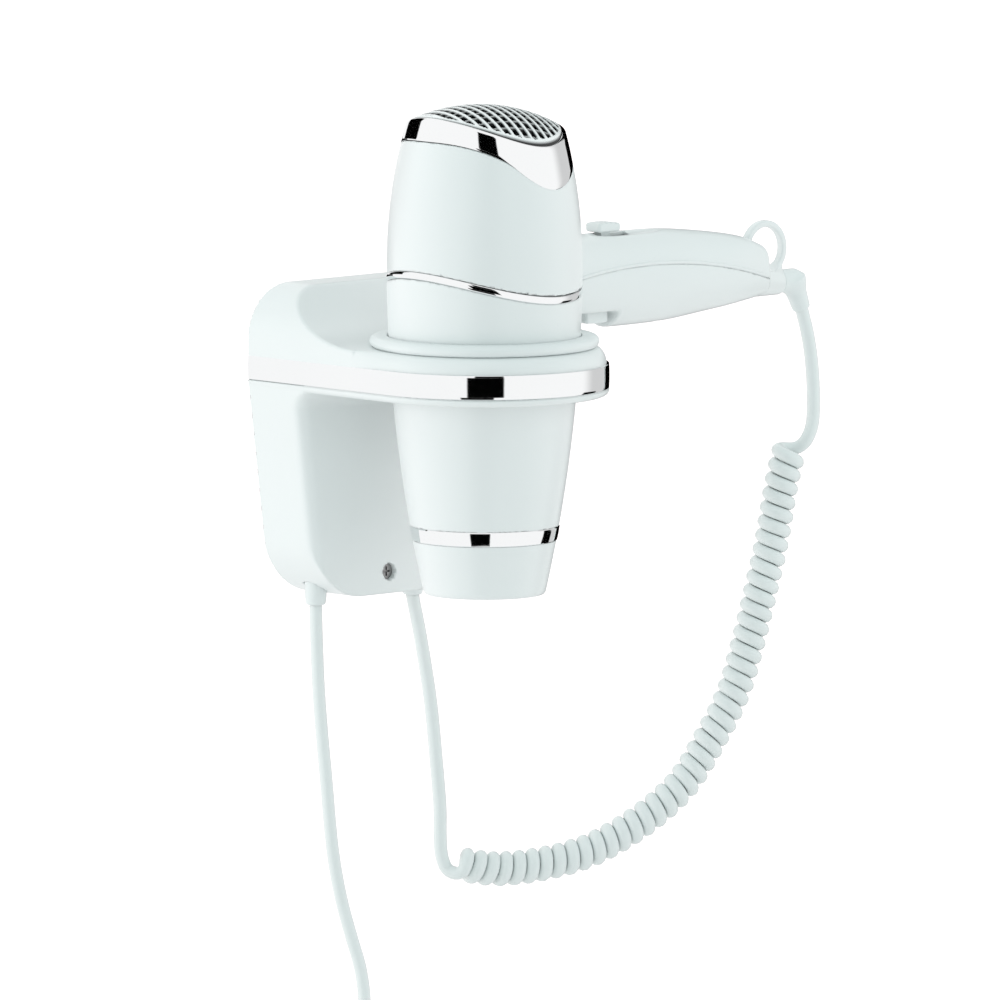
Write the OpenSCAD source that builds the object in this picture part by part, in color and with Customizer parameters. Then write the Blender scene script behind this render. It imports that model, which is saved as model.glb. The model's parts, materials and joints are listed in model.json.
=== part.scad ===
// Wall-mounted hotel hair dryer: a holder with a ring collar, the dryer that hangs in it
// nozzle down, a curly cord between the two and a mains lead with its plug.
// X runs along the wall, -Y points away from the wall, Z is up. The origin is on the wall
// plane, at the middle of the wall plate.

/* [Holder] */
// Width of the holder along the wall
holder_w = 100; // [98:1:104]
// Distance from the wall to the axis of the ring and the dryer
reach = 86; // [84:1:92]
// Height of the middle of the chrome band above the middle of the wall plate
band_z = 30; // [28:1:32]
// Height of the chrome band
band_h = 10; // [8:1:11]
// Top of the back panel
holder_top = 63; // [61:1:66]
// Bottom of the holder's box
holder_bottom = -63; // [-66:1:-61]
// Depth of the box below the ring
box_depth = 30; // [28:1:33]
// Wall thickness of the holder's shells
shell_t = 2.6; // [2.2:0.1:3]
// Width between the wall screws
wall_screw_x = 62; // [56:1:66]
// Height between the wall screws
wall_screw_z = 80; // [74:1:84]

/* [Dryer body] */
// Largest radius of the barrel
barrel_max_r = 39.2; // [38.8:0.1:39.4]
// Length of the barrel below the band, down to the mouth of the nozzle
nozzle_drop = 88; // [84:1:92]
// Height of the top of the intake dome above the band
dome_top = 109; // [107:1:111]
// Wall thickness of the dryer's housings
barrel_t = 2.2; // [2:0.1:2.4]
// Height of the chrome strip between the housings
trim_h = 3; // [2.4:0.1:3.4]

/* [Handle] */
// Distance from the barrel axis to the end of the handle
handle_end = 150; // [148:1:152]
// Largest width of the handle
handle_w = 30; // [28:1:32]
// Travel of the slide switch
switch_travel = 10; // [6:1:10]
// Travel of the push button
button_travel = 2.5; // [1.5:0.1:2.6]

/* [Fan and heater] */
// Radius of the impeller
impeller_r = 33.2; // [31:0.1:33.6]
// Number of impeller blades
impeller_blades = 9; // [7:1:11]
// Radius of the motor can
motor_r = 12.5; // [12:0.1:13]
// Number of turns of heating wire
heater_turns = 10; // [8:1:11]

/* [Cords] */
// Diameter of the curly cord's cable
curly_d = 5.5; // [5:0.1:5.8]
// Outer diameter of the curly cord's coil
curly_outer_d = 14.5; // [13.5:0.1:15]
// Diameter of the mains lead
mains_d = 5.2; // [5:0.1:5.5]
// Radius of the stored coil of mains lead, at the middle of its turns
stored_r = 31; // [30:1:33]

/* [Hidden] */
$fn = 64;
hull_fn = 32;
eps = 0.01;

// holder
half_w = holder_w / 2;
band_t = 1.2;
band_low = band_z - band_h / 2;
band_high = band_z + band_h / 2;
ring_low = band_low - 3;
ring_top = band_high + 6.5;
ring_top_inset = 3.5;
lip_top = ring_top + 4.6;
lip_r = half_w - 4;
liner_r = half_w - 8;
collar_wall = 2.4;
panel_t = 11.5;
scoop_r = 24.5;
panel_corner_r = 22;
box_corner_r = 25;
box_edge_r = 9;
box_half_low = half_w - 8.3;
arm_fillet = 8;
plate_t = 3;
plate_inset = shell_t + 0.4;
cover_screw_z = holder_bottom + 9;
shell_screw_x = 36;
shell_screw_depth = 47;
cord_x = 26.5;
cord_depth = 15;
gland_r = 4.4;
gland_low = holder_bottom - 3.5;
gland_len = 22;
gland_bore_len = 8;

// dryer, in heights above the middle of the band
widest_z = 45;
upper_bow = 410;
lower_bow = 1188;
wave_top = 38.2;
wave_r = 108.5;
wave_tilt = 3.9;
cap_edge_top = 95.7;
cap_edge_r = 42;
cap_edge_max = 96.6;
cap_tilt = 12.2;
cap_foot = 72;
dome_x = -5;
dome_tube_r = 45;
dome_r = 83;
grille_turn = 8;
grille_slots = 13;
grille_pitch = 4.1;
grille_slot_w = 2.4;
cap_t = 1.6;
dome_t = 2.2;
trim_proud = 0.35;
nozzle_band_top = -60.3;
nozzle_band_low = -66.3;
collar_gap = 0.35;
outlet_z = -73;
outlet_h = 3;

// handle
handle_z = 28.6;
collar_w = 12;
collar_r = 8;
collar_tip_r = 5.4;
notch_x = 63.5;
notch_z = 22;
seam_top = 39.6;
seam_x = 78;
seam_r = 235;
knob_x = 57.5;
knob_len = 13.5;
knob_low = 53.3;
knob_top = 57;
stem_x = 62;
stem_len = 5;
switch_top = 45.7;
button_x = 49.5;
button_len = 12;
button_w = 14;
button_low = 17;
button_flange_z = notch_z + barrel_t + 0.3;
button_flange_h = 1.2;
plunger_h = 1.5;
micro_z = button_flange_z + button_flange_h + button_travel + plunger_h + 0.3;
handle_screw_x = [92, 128];
clamp_x = 134;
loop_x = 152.5;
loop_z = 39.5;
loop_r = 9.8;
loop_t = 3;
loop_w = 5.2;
relief_z = 26;
relief_start = 164.5;
relief_bend = 6.5;
relief_turn = 60;
relief_cone = 10;
relief_r = 4.6;
relief_end_r = 3.6;
relief_neck_r = 3;
relief_bore = 4;
relief_x = relief_start + relief_bend * sin(relief_turn) + relief_cone * cos(relief_turn);
relief_tip_z = relief_z - relief_bend * (1 - cos(relief_turn)) - relief_cone * sin(relief_turn);

// fan and heater, in heights above the middle of the band
filter_z = 84;
filter_t = 2;
motor_low = 30;
motor_high = 58;
shaft_r = 1;
bearing_gap = 0.05;
fan_z = 60;
fan_h = 12;
heater_low = -54;
heater_high = 20;
heater_pitch = 6.4;
heater_ring_r = 22.5;
heater_wire_r = 1.1;
shield_r = 26.5;
shield_t = 0.8;
mica_t = 0.8;

// The curly cord hangs in the upright plane through its two exits. Its route is given as
// [distance from the holder's exit along that plane, height above the middle of the band].
plane_run = [relief_x - cord_x, reach - cord_depth];
plane_dir = plane_run / norm(plane_run);
span = norm(plane_run);
function in_plane(p) = [cord_x + plane_dir[0] * p[0], -cord_depth - plane_dir[1] * p[0], p[1] + band_z];

curly_lower_route = [
    [0, -88.5], [0, -92.5], [0, -97], [3.5, -115], [7.5, -140], [10, -165], [11.5, -183],
    [11.6, -195], [12.2, -203], [14.6, -209], [19.2, -211.5]
];
curly_coil_route = [
    [19.5, -207], [36, -209.5], [56, -208], [76, -203], [97, -192], [114, -178],
    [126, -160], [136, -141], [143, -118], [148.5, -96], [152, -81], [156.5, -56],
    [160, -42]
];
// The cords outside that plane, as [x, depth from the wall, height above the middle of the band]
curly_upper_route = [
    [173.1, 86, 17.5], [175.1, 86, 14.1], [176.4, 86.3, 9.5], [177.7, 86.8, 4],
    [179.1, 87.4, -5], [179.8, 87.8, -14], [180.3, 87.8, -23.5], [180.2, 87.4, -32],
    [178.6, 86.8, -37.5], [174.9, 85.9, -41.3]
];
mains_route = [
    [-26.5, 15, -88.5], [-26.5, 15, -97], [-26, 15, -112], [-25, 15, -130], [-23.5, 15, -146],
    [-21, 15, -167], [-17.5, 15, -196], [-13, 15, -216], [-7.5, 15, -232], [-2, 15, -247],
    [0, 15, -262], [-3, 14, -274], [-10, 13, -283]
];
stored_centre = [6, 15, -312];
stored_section = [2 * mains_d, 3 * mains_d];
tail_x = stored_centre[0] - stored_r - mains_d / 2;
tail_route = [
    [tail_x, 15, stored_centre[2]], [tail_x, 15, stored_centre[2] - 10],
    [tail_x, 15, stored_centre[2] - 20], [tail_x, 15, stored_centre[2] - 34]
];
plug_top = stored_centre[2] - 30;
function from_depth(p) = [p[0], -p[1], p[2] + band_z];

// ---- shared functions ----

function arc_points(cx, cy, r, from, to, steps) =
    [for (i = [0:steps]) let (a = from + (to - from) * i / steps) [cx + r * cos(a), cy + r * sin(a)]];

function mirrored(points) =
    concat(points, [for (i = [len(points) - 1:-1:0]) [-points[i][0], points[i][1]]]);

// radius of the barrel's outer surface at a height above the band
function barrel_r(z) = barrel_max_r - pow(z - widest_z, 2) / (z > widest_z ? upper_bow : lower_bow);

function barrel_line(low, high, inset, steps) =
    [for (i = [0:steps]) let (z = low + (high - low) * i / steps) [barrel_r(z) - inset, z]];

// a smooth curve through the middle of four points
function blend_point(a, b, c, d, t) =
    0.5 * (2 * b + (c - a) * t + (2 * a - 5 * b + 4 * c - d) * t * t
    + (3 * b - a - 3 * c + d) * t * t * t);

function smooth_route(p, steps) = concat(
    [for (i = [0:len(p) - 2]) for (k = [0:steps - 1])
        blend_point(p[max(i - 1, 0)], p[i], p[i + 1], p[min(i + 2, len(p) - 1)], k / steps)],
    [p[len(p) - 1]]
);

function along(p, i) =
    let (v = p[min(i + 1, len(p) - 1)] - p[max(i - 1, 0)]) v / norm(v);

function ring_points(centre, dir, r, sides) =
    let (across = cross(dir, [0, 1, 0]), u = across / norm(across), v = cross(u, dir))
    [for (k = [0:sides - 1]) centre + r * (u * cos(360 * k / sides) + v * sin(360 * k / sides))];

// ---- shared modules ----

// a tube along a list of points, with one radius or one for each point
module sweep(p, r, sides) {
    rings = len(p);
    points = [for (i = [0:rings - 1]) each ring_points(p[i], along(p, i), is_list(r) ? r[i] : r, sides)];
    walls = [for (i = [0:rings - 2]) for (k = [0:sides - 1])
        let (a = i * sides + k, b = i * sides + (k + 1) % sides)
        each [[a, b, b + sides], [a, b + sides, a + sides]]];
    first = [for (k = [sides - 1:-1:0]) k];
    last = [for (k = [0:sides - 1]) (rings - 1) * sides + k];
    polyhedron(points, concat(walls, [first, last]), convexity = 10);
}

module on_axis() translate([0, -reach, band_z]) children();

// extrudes an outline drawn on the wall, from one depth to another
module from_wall(near, far) rotate([90, 0, 0]) translate([0, 0, near]) linear_extrude(far - near) children();

module ring_plan(r) {
    translate([0, -reach]) circle(r);
    translate([-r, -reach]) square([2 * r, reach]);
}

module along_x(r, x0, x1) translate([x0, 0, 0]) rotate([0, 90, 0]) cylinder(r = r, h = x1 - x0);

module barrel_shell(low, high, out, inn, steps) {
    rotate_extrude() polygon(concat(
        barrel_line(low, high, out, steps),
        barrel_line(high, low, inn, steps)
    ));
}

module barrel_solid(low, high, inset, steps) {
    rotate_extrude() polygon(concat([[0, low]], barrel_line(low, high, inset, steps), [[0, high]]));
}

// ---- holder ----

function box_outline(i, top) = mirrored(concat(
    [[half_w - i, top], [half_w - i, band_low]],
    arc_points(box_half_low - box_corner_r, holder_bottom + box_corner_r, box_corner_r - i, 0, -90, 10)
));

function panel_outline(i, low) = mirrored(concat(
    [[half_w - i, low]],
    arc_points(half_w - panel_corner_r, holder_top - panel_corner_r, panel_corner_r - i, 0, 90, 10)
));

module box_plan(i) {
    w = half_w - i;
    d = box_depth - i;
    e = box_edge_r - i;
    translate([-w, e - d]) square([2 * w, d - e + 1]);
    translate([e - w, -d]) square([2 * (w - e), d]);
    for (side = [-1, 1]) translate([side * (w - e), e - d]) circle(e);
}

module box_form(i, top) {
    intersection() {
        from_wall(0, box_depth) polygon(box_outline(i, top));
        translate([0, 0, holder_bottom - 1]) linear_extrude(top - holder_bottom + 2) box_plan(i);
    }
}

module rebate() {
    translate([0, 0, band_low]) linear_extrude(band_h) difference() {
        ring_plan(half_w + 5);
        ring_plan(half_w - band_t);
    }
}

module shell_boss_places() {
    for (side = [-1, 1]) translate([side * shell_screw_x, -shell_screw_depth, 0]) children();
}

module holder_lower_shell() color("whitesmoke") {
    difference() {
        union() {
            difference() {
                union() {
                    box_form(0, band_z);
                    translate([0, 0, ring_low]) linear_extrude(band_z - ring_low) ring_plan(half_w);
                    arm_underside_fillet();
                }
                translate([0, eps, 0]) box_form(shell_t, band_z + 1);
                translate([0, 0, ring_low + shell_t]) linear_extrude(band_h) difference() {
                    ring_plan(half_w - band_t - shell_t);
                    translate([0, -reach]) circle(liner_r + collar_wall);
                }
            }
            shell_boss_places() translate([0, 0, ring_low]) cylinder(r = 4, h = band_z - ring_low);
            translate([0, -box_depth + 1, cover_screw_z]) rotate([-90, 0, 0]) cylinder(r = 6, h = 6);
        }
        on_axis() translate([0, 0, -30]) cylinder(r = liner_r, h = 60);
        rebate();
        shell_boss_places() {
            translate([0, 0, ring_low - 1]) cylinder(r = 1.8, h = 20);
            translate([0, 0, ring_low - 1]) cylinder(r = 3.1, h = 3.6);
        }
        translate([0, -box_depth - 1, cover_screw_z]) rotate([-90, 0, 0]) {
            cylinder(r = 4, h = 5);
            cylinder(r = 1.8, h = 12);
        }
        for (side = [-1, 1]) translate([side * cord_x, -cord_depth, holder_bottom - 5])
            cylinder(r = gland_r, h = 20);
    }
}

// rounds the corner where the box meets the underside of the arm
module arm_underside_fillet() {
    w = half_w - box_edge_r;
    translate([0, -box_depth, ring_low]) difference() {
        translate([-w, -arm_fillet, -arm_fillet]) cube([2 * w, arm_fillet + 1, arm_fillet + 1]);
        translate([0, -arm_fillet, -arm_fillet]) along_x(arm_fillet, -half_w, half_w);
    }
}

function rim_line(i) =
    let (bow = (pow(ring_top - band_high, 2) + pow(ring_top_inset, 2)) / (2 * ring_top_inset),
        lean = asin((ring_top - band_high) / bow))
    concat([[half_w - band_t - i, band_z], [half_w - band_t - i, band_high]],
        arc_points(half_w - bow, band_high, bow - i, 0, lean, 6));

module holder_upper_shell() color("whitesmoke") {
    rim = rim_line(0);
    inner_w = half_w - band_t - shell_t;
    difference() {
        union() {
            difference() {
                union() {
                    from_wall(0, reach) polygon(mirrored(rim));
                    on_axis() rotate([0, 0, 180]) rotate_extrude(angle = 180)
                        polygon(concat([[0, 0], [0, ring_top - band_z]], [for (k = [len(rim) - 1:-1:0])
                            [rim[k][0], rim[k][1] - band_z]]));
                    back_panel();
                }
                translate([0, 0, band_z - 1]) linear_extrude(ring_top - band_z - shell_t + 1) difference() {
                    ring_plan(inner_w - ring_top_inset);
                    translate([0, -reach]) circle(liner_r + collar_wall);
                }
                from_wall(-1, panel_t - shell_t) polygon(panel_outline(shell_t, band_z - 1));
            }
            shell_boss_places() translate([0, 0, band_z]) cylinder(r = 4, h = ring_top - band_z - 1);
        }
        on_axis() translate([0, 0, -30]) cylinder(r = liner_r, h = 60);
        shell_boss_places() translate([0, 0, band_z - 1]) cylinder(r = 1.4, h = 9);
    }
}

module back_panel() {
    difference() {
        from_wall(0, panel_t + scoop_r) polygon(panel_outline(0, band_high));
        translate([0, -panel_t - scoop_r, ring_top + scoop_r + 0.2]) along_x(scoop_r, -half_w - 1, half_w + 1);
    }
}

module holder_chrome_band() color("silver") {
    translate([0, 0, band_low]) linear_extrude(band_h) difference() {
        ring_plan(half_w);
        ring_plan(half_w - band_t);
    }
}

module collar_liner() color("white") {
    steps = 10;
    low = ring_low - band_z;
    high = lip_top - band_z;
    under = ring_top - band_z;
    lip = high - under;
    on_axis() rotate_extrude() polygon(concat(
        barrel_line(low, high, -collar_gap, steps),
        [[lip_r - lip, high]],
        arc_points(lip_r - lip / 2, under + lip / 2, lip / 2, 90, -90, 8),
        [[liner_r, under], [liner_r, low]]
    ));
}

module wall_plate() color("gainsboro") {
    difference() {
        union() {
            from_wall(0, plate_t) {
                polygon(panel_outline(plate_inset, band_low));
                polygon(box_outline(plate_inset, band_z));
            }
            translate([0, 0, cover_screw_z]) from_wall(0, box_depth - 8) circle(4.5);
        }
        for (sx = [-1, 1]) for (sz = [-1, 1])
            translate([sx * wall_screw_x / 2, 0, sz * wall_screw_z / 2]) from_wall(-1, plate_t + 1) circle(2.4);
        translate([0, 0, cover_screw_z]) from_wall(box_depth - 22, box_depth) circle(1.5);
        translate([0, 0, -26]) from_wall(-1, plate_t + 1) circle(7);
    }
}

// a pan-head screw whose head's underside is at the origin, shank pointing up
module screw(head_r, head_h, shank_r, shank_h) {
    difference() {
        translate([0, 0, -head_h]) cylinder(r = head_r, h = head_h);
        for (turn = [0, 90]) rotate([0, 0, turn])
            translate([-head_r * 0.6, -0.4, -head_h - 1]) cube([head_r * 1.2, 0.8, 1.8]);
    }
    cylinder(r = shank_r, h = shank_h);
}

module cover_screw() color("silver") {
    translate([0, -box_depth + 4, cover_screw_z]) rotate([-90, 0, 0]) screw(3.2, 2, 1.5, 16);
}

module shell_screws() color("silver") {
    shell_boss_places() translate([0, 0, ring_low + 2.6]) screw(2.8, 1.8, 1.4, 13);
}

module terminal_block() color("ivory") {
    difference() {
        translate([-16, -15, 2]) cube([32, 12, 14]);
        for (x = [-10, 0, 10]) {
            translate([x, -8.5, 1]) cylinder(r = 2, h = 16);
            translate([x, 0, 9]) from_wall(11, 16) circle(1.8);
        }
    }
}

module terminal_screws() color("goldenrod") {
    for (x = [-10, 0, 10]) translate([x, 0, 9]) from_wall(11, 14.4) circle(1.8);
}

module cord_clamps() color("ivory") {
    for (side = [-1, 1]) translate([side * cord_x, 0, -34]) difference() {
        translate([-7, -19, 0]) cube([14, 19 - plate_t, 8]);
        translate([0, -cord_depth, -1]) cylinder(r = 2.8, h = 10);
    }
}

module gland(bore) {
    translate([0, -cord_depth, gland_low]) difference() {
        union() {
            cylinder(r1 = gland_r - 0.8, r2 = gland_r, h = 2.4);
            translate([0, 0, 2.4]) cylinder(r = gland_r, h = 8);
            translate([0, 0, 10.4]) cylinder(r1 = gland_r, r2 = 3.2, h = gland_len - 10.4);
        }
        translate([0, 0, -1]) cylinder(r = bore, h = gland_bore_len + 1);
    }
}

module mains_cord_gland() color("white") translate([-cord_x, 0, 0]) gland(mains_d / 2 + 0.3);

module curly_cord_gland() color("white") translate([cord_x, 0, 0]) gland(curly_d / 2 + 0.3);

// ---- cords ----

module curly_lower_lead() color("white") {
    sweep(smooth_route([for (p = curly_lower_route) in_plane(p)], 2), curly_d / 2, 10);
}

module curly_coil() color("white") {
    sweep([for (p = curly_coil_route) in_plane(p)], curly_outer_d / 2, 12);
}

module curly_upper_lead() color("white") {
    sweep(smooth_route([for (p = curly_upper_route) from_depth(p)], 2), curly_d / 2, 10);
}

module mains_lead() color("white") {
    sweep([for (p = mains_route) from_depth(p)], mains_d / 2, 10);
}

module mains_lead_tail() color("white") {
    sweep([for (p = tail_route) from_depth(p)], mains_d / 2, 10);
}

module around_stored_coil() {
    translate(from_depth(stored_centre)) rotate([90, 0, 0]) children();
}

module mains_lead_coil() color("white") {
    around_stored_coil() rotate_extrude()
        translate([stored_r, 0]) square(stored_section, center = true);
}

module cord_tie() color("dimgray") {
    t = 1.4;
    around_stored_coil() rotate([0, 0, 48]) rotate_extrude(angle = 20) translate([stored_r, 0]) difference() {
        square([stored_section[0] + 2 * t, stored_section[1] + 2 * t], center = true);
        square(stored_section, center = true);
    }
}

module at_plug() translate(from_depth([tail_x, 15, plug_top])) children();

module plug_body() color("white") {
    at_plug() difference() {
        union() {
            translate([0, 0, -24]) cylinder(r1 = 5.6, r2 = 3.6, h = 24);
            translate([0, 0, -44]) {
                translate([-9, -9, 0]) cube([18, 18, 20]);
                for (side = [-1, 1]) translate([side * 9, 0, 0]) cylinder(r = 9, h = 20);
            }
        }
        translate([0, 0, -4]) cylinder(r = mains_d / 2 + 0.05, h = 5);
    }
}

module plug_pins() color("silver") {
    at_plug() for (side = [-1, 1]) translate([side * 9.5, 0, -63]) {
        cylinder(r1 = 1.4, r2 = 2.4, h = 2);
        translate([0, 0, 2]) cylinder(r = 2.4, h = 17);
    }
}

// ---- dryer housings ----

// one cross-section of the handle, an upright oval
module handle_slice(x, low, high, w, inset) {
    translate([x, 0, (low + high) / 2]) rotate([0, 90, 0])
        scale([(high - low) / 2 - inset, w / 2 - inset, 1]) cylinder(r = 1, h = 0.1, $fn = hull_fn);
}

module handle_form(inset) {
    hull() {
        handle_slice(24 + inset, 15.5, 52.6, handle_w, inset);
        handle_slice(80, 14.5, 52.8, handle_w, inset);
        handle_slice(100, 15, 51.9, handle_w * 0.98, inset);
        handle_slice(124, 17.6, 49, handle_w * 0.88, inset);
        handle_slice(138, 19.4, 46, handle_w * 0.78, inset);
        handle_slice(handle_end - 0.1 - inset, handle_z - 7.8, handle_z + 9.8, handle_w * 0.6, inset);
    }
}

module below_seam() {
    translate([seam_x, 0, seam_top - seam_r]) rotate([90, 0, 0]) cylinder(r = seam_r, h = 80, center = true, $fn = 256);
}

// everything under the wavy split, which slopes down towards the handle
module below_wave(extra) {
    translate([0, 0, wave_top - wave_r]) rotate([0, wave_tilt, 0])
        along_x(wave_r + extra, -60, 60, $fn = 128);
}

// hollow handle with the button's notch and floor, outside the barrel
module handle_shell() {
    difference() {
        handle_form(0);
        difference() {
            handle_form(barrel_t);
            translate([0, -40, notch_z - 30]) cube([notch_x + barrel_t, 80, 30 + barrel_t]);
        }
        translate([0, -40, notch_z - 30]) cube([notch_x, 80, 30]);
        translate([0, 0, relief_z]) along_x(relief_neck_r, handle_end - 5, handle_end + 1);
        barrel_solid(0, 80, 0, 16);
    }
}

module handle_boss(x, r, low, high) translate([x, 0, low]) cylinder(r = r, h = high - low);

module rear_housing() color("whitesmoke") {
    on_axis() difference() {
        union() {
            difference() {
                barrel_shell(28, 98, 0, barrel_t, 20);
                below_wave(trim_h);
                difference() {
                    translate([-60, -60, cap_foot]) cube([120, 120, 60]);
                    below_cap();
                }
            }
            difference() {
                handle_shell();
                below_seam();
            }
            intersection() {
                handle_form(0.5);
                for (x = handle_screw_x) handle_boss(x, 3, 27, 50);
            }
        }
        for (x = handle_screw_x) handle_boss(x, 1.3, 20, 38);
        translate([stem_x - 1, -2.5, 40]) cube([stem_len + switch_travel + 2, 5, 20]);
    }
}

module front_housing() color("whitesmoke") {
    on_axis() difference() {
        union() {
            intersection() {
                barrel_shell(nozzle_band_top, 46, 0, barrel_t, 26);
                below_wave(0);
            }
            intersection() {
                handle_shell();
                below_seam();
            }
            intersection() {
                handle_form(0.5);
                for (x = handle_screw_x) handle_boss(x, 4.2, 10, 27);
            }
        }
        for (x = handle_screw_x) {
            handle_boss(x, 1.5, 5, 40);
            handle_boss(x, 3, 5, 23);
        }
        translate([button_x - 0.3, -button_w / 2 - 0.3, notch_z - 2])
            cube([button_len + 0.6, button_w + 0.6, 8]);
    }
}

module wave_trim() color("silver") {
    on_axis() difference() {
        intersection() {
            barrel_shell(26, 47, -trim_proud, cap_t, 8);
            below_wave(trim_h);
        }
        below_wave(0);
        translate([20, -handle_w / 2 - 0.3, 0]) cube([40, handle_w + 0.6, 60]);
    }
}

// everything under the cap ring's lower edge: a tilted arch, levelled off at its high side
module below_cap() {
    intersection() {
        translate([0, 0, cap_edge_top - cap_edge_r]) rotate([0, cap_tilt, 0])
            along_x(cap_edge_r, -60, 60, $fn = 128);
        translate([-60, -60, cap_foot - 60]) cube([120, 120, cap_edge_max - cap_foot + 60]);
    }
}

// everything under the intake dome: a fat ring that turns about an axis along Y
module under_dome(drop) {
    translate([dome_x, 0, dome_top - dome_r]) rotate([90, 0, 0]) rotate_extrude($fn = 128) intersection() {
        translate([dome_r - dome_tube_r, 0]) circle(dome_tube_r - drop, $fn = 128);
        translate([0, -60]) square([dome_r + 1, 120]);
    }
}

module rear_cap_ring() color("silver") {
    on_axis() difference() {
        intersection() {
            barrel_shell(cap_foot, dome_top, 0, cap_t, 16);
            under_dome(0);
        }
        below_cap();
    }
}

module rear_grille() color("dimgray") {
    on_axis() difference() {
        intersection() {
            barrel_solid(86, dome_top + 1, cap_t, 8);
            under_dome(0);
        }
        under_dome(dome_t);
        intersection() {
            translate([0, 0, 80]) cylinder(r = 27, h = 40);
            rotate([0, 0, -grille_turn]) for (i = [0:grille_slots - 1])
                translate([(i - (grille_slots - 1) / 2) * grille_pitch - grille_slot_w / 2, -30, 80])
                    cube([grille_slot_w, 60, 40]);
        }
    }
}

module intake_filter() color("slategray") {
    rim = [for (z = [0, filter_t]) [barrel_r(filter_z + z) - barrel_t, z]];
    on_axis() translate([0, 0, filter_z]) difference() {
        rotate_extrude() polygon(concat([[0, 0]], rim, [[0, filter_t]]));
        for (a = [0:45:315]) rotate([0, 0, a]) translate([9, -2.2, -1]) cube([18, 4.4, 4]);
    }
}

module nozzle_band() color("silver") {
    on_axis() barrel_shell(nozzle_band_low, nozzle_band_top, -trim_proud, barrel_t, 2);
}

module nozzle_tip() color("whitesmoke") {
    on_axis() barrel_shell(-nozzle_drop, nozzle_band_low, 0, barrel_t, 8);
}

module outlet_grille() color("dimgray") {
    steps = 2;
    on_axis() {
        barrel_shell(outlet_z, outlet_z + outlet_h, barrel_t, barrel_t + 1.6, steps);
        translate([0, 0, outlet_z]) {
            for (r = [8, 16]) difference() {
                cylinder(r = r + 0.8, h = outlet_h);
                translate([0, 0, -1]) cylinder(r = r - 0.8, h = outlet_h + 2);
            }
            intersection() {
                cylinder(r = barrel_r(outlet_z) - barrel_t - 0.6, h = outlet_h);
                for (a = [0:45:135]) rotate([0, 0, a]) translate([-30, -0.6, 0]) cube([60, 1.2, outlet_h]);
            }
        }
    }
}

// ---- fan and motor ----

module motor_mount() color("gainsboro") {
    low = 34;
    high = 56;
    hub_r = motor_r + 1.8;
    vane_r = barrel_r(low) - barrel_t - 0.8;
    on_axis() difference() {
        union() {
            barrel_shell(low, high, barrel_t, barrel_t + 1.5, 6);
            translate([0, 0, low]) cylinder(r = hub_r, h = high - low);
            for (a = [0:45:315]) rotate([0, 0, a + 22.5])
                translate([hub_r - 1, -0.6, low + 2]) cube([vane_r - hub_r + 1, 1.2, high - low - 4]);
        }
        translate([0, 0, low - 1]) cylinder(r = motor_r, h = high - low + 2);
    }
}

module motor_can() color("silver") {
    on_axis() translate([0, 0, motor_low]) difference() {
        cylinder(r = motor_r, h = motor_high - motor_low);
        translate([0, 0, 3]) cylinder(r = motor_r - 1.2, h = motor_high - motor_low - 6);
        translate([0, 0, -1]) cylinder(r = 3.5, h = motor_high - motor_low + 2);
    }
}

module motor_magnets() color("dimgray") {
    on_axis() for (side = [0, 180]) rotate([0, 0, side]) translate([0, 0, motor_low + 4])
        rotate_extrude(angle = 140) translate([8.7, 0]) square([motor_r - 1.2 - 8.7, 18]);
}

module motor_bearings() color("goldenrod") {
    on_axis() for (z = [motor_low, motor_high - 3]) translate([0, 0, z]) difference() {
        cylinder(r = 3.5, h = 3);
        translate([0, 0, -1]) cylinder(r = shaft_r + bearing_gap, h = 5);
    }
}

module motor_shaft() color("silver") {
    on_axis() translate([0, 0, motor_low + 0.5]) cylinder(r = shaft_r, h = fan_z + fan_h + 2 - motor_low - 0.5);
}

module motor_rotor() color("peru") {
    on_axis() translate([0, 0, motor_low + 5]) difference() {
        cylinder(r = 8, h = 16);
        translate([0, 0, -1]) cylinder(r = shaft_r, h = 20);
        for (a = [0:120:240]) rotate([0, 0, a]) translate([5, -1, -1]) cube([5, 2, 20]);
    }
}

module impeller() color("dimgray") {
    on_axis() translate([0, 0, fan_z]) difference() {
        union() {
            cylinder(r = 8.5, h = fan_h);
            for (i = [0:impeller_blades - 1]) rotate([0, 0, i * 360 / impeller_blades])
                translate([7.5, 0, fan_h / 2]) rotate([38, 0, 0])
                    translate([0, -fan_h / 2, -0.7]) cube([impeller_r - 7.5 - 0.6, fan_h, 1.4]);
        }
        translate([0, 0, -1]) cylinder(r = shaft_r, h = fan_h + 2);
    }
}

// ---- heater ----

module heat_shield_tube() color("burlywood") {
    on_axis() translate([0, 0, heater_low - 2]) difference() {
        cylinder(r = shield_r, h = heater_high - heater_low + 2);
        translate([0, 0, -1]) cylinder(r = shield_r - shield_t, h = heater_high - heater_low + 4);
    }
}

function turn_z(i) = heater_low + 6 + i * heater_pitch;

module mica_plate() {
    w = shield_r - shield_t;
    rotate([90, 0, 0]) linear_extrude(mica_t, center = true) difference() {
        translate([-w, heater_low]) square([2 * w, heater_high - heater_low]);
        for (i = [0:heater_turns - 1]) for (side = [0, 1]) mirror([side, 0])
            translate([heater_ring_r - heater_wire_r, turn_z(i) - 1.3]) square([10, 2.6]);
    }
}

module heater_frame() color("tan") {
    on_axis() {
        mica_plate();
        rotate([0, 0, 90]) mica_plate();
    }
}

module heater_coils() color("darkgray") {
    on_axis() for (i = [0:heater_turns - 1]) translate([0, 0, turn_z(i)])
        rotate_extrude() translate([heater_ring_r, 0]) circle(heater_wire_r);
}

module thermostat() color("silver") {
    on_axis() translate([11, -mica_t / 2, 10]) rotate([90, 0, 0]) {
        cylinder(r = 5, h = 3);
        translate([0, 0, 3]) cylinder(r = 3, h = 1);
    }
}

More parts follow.
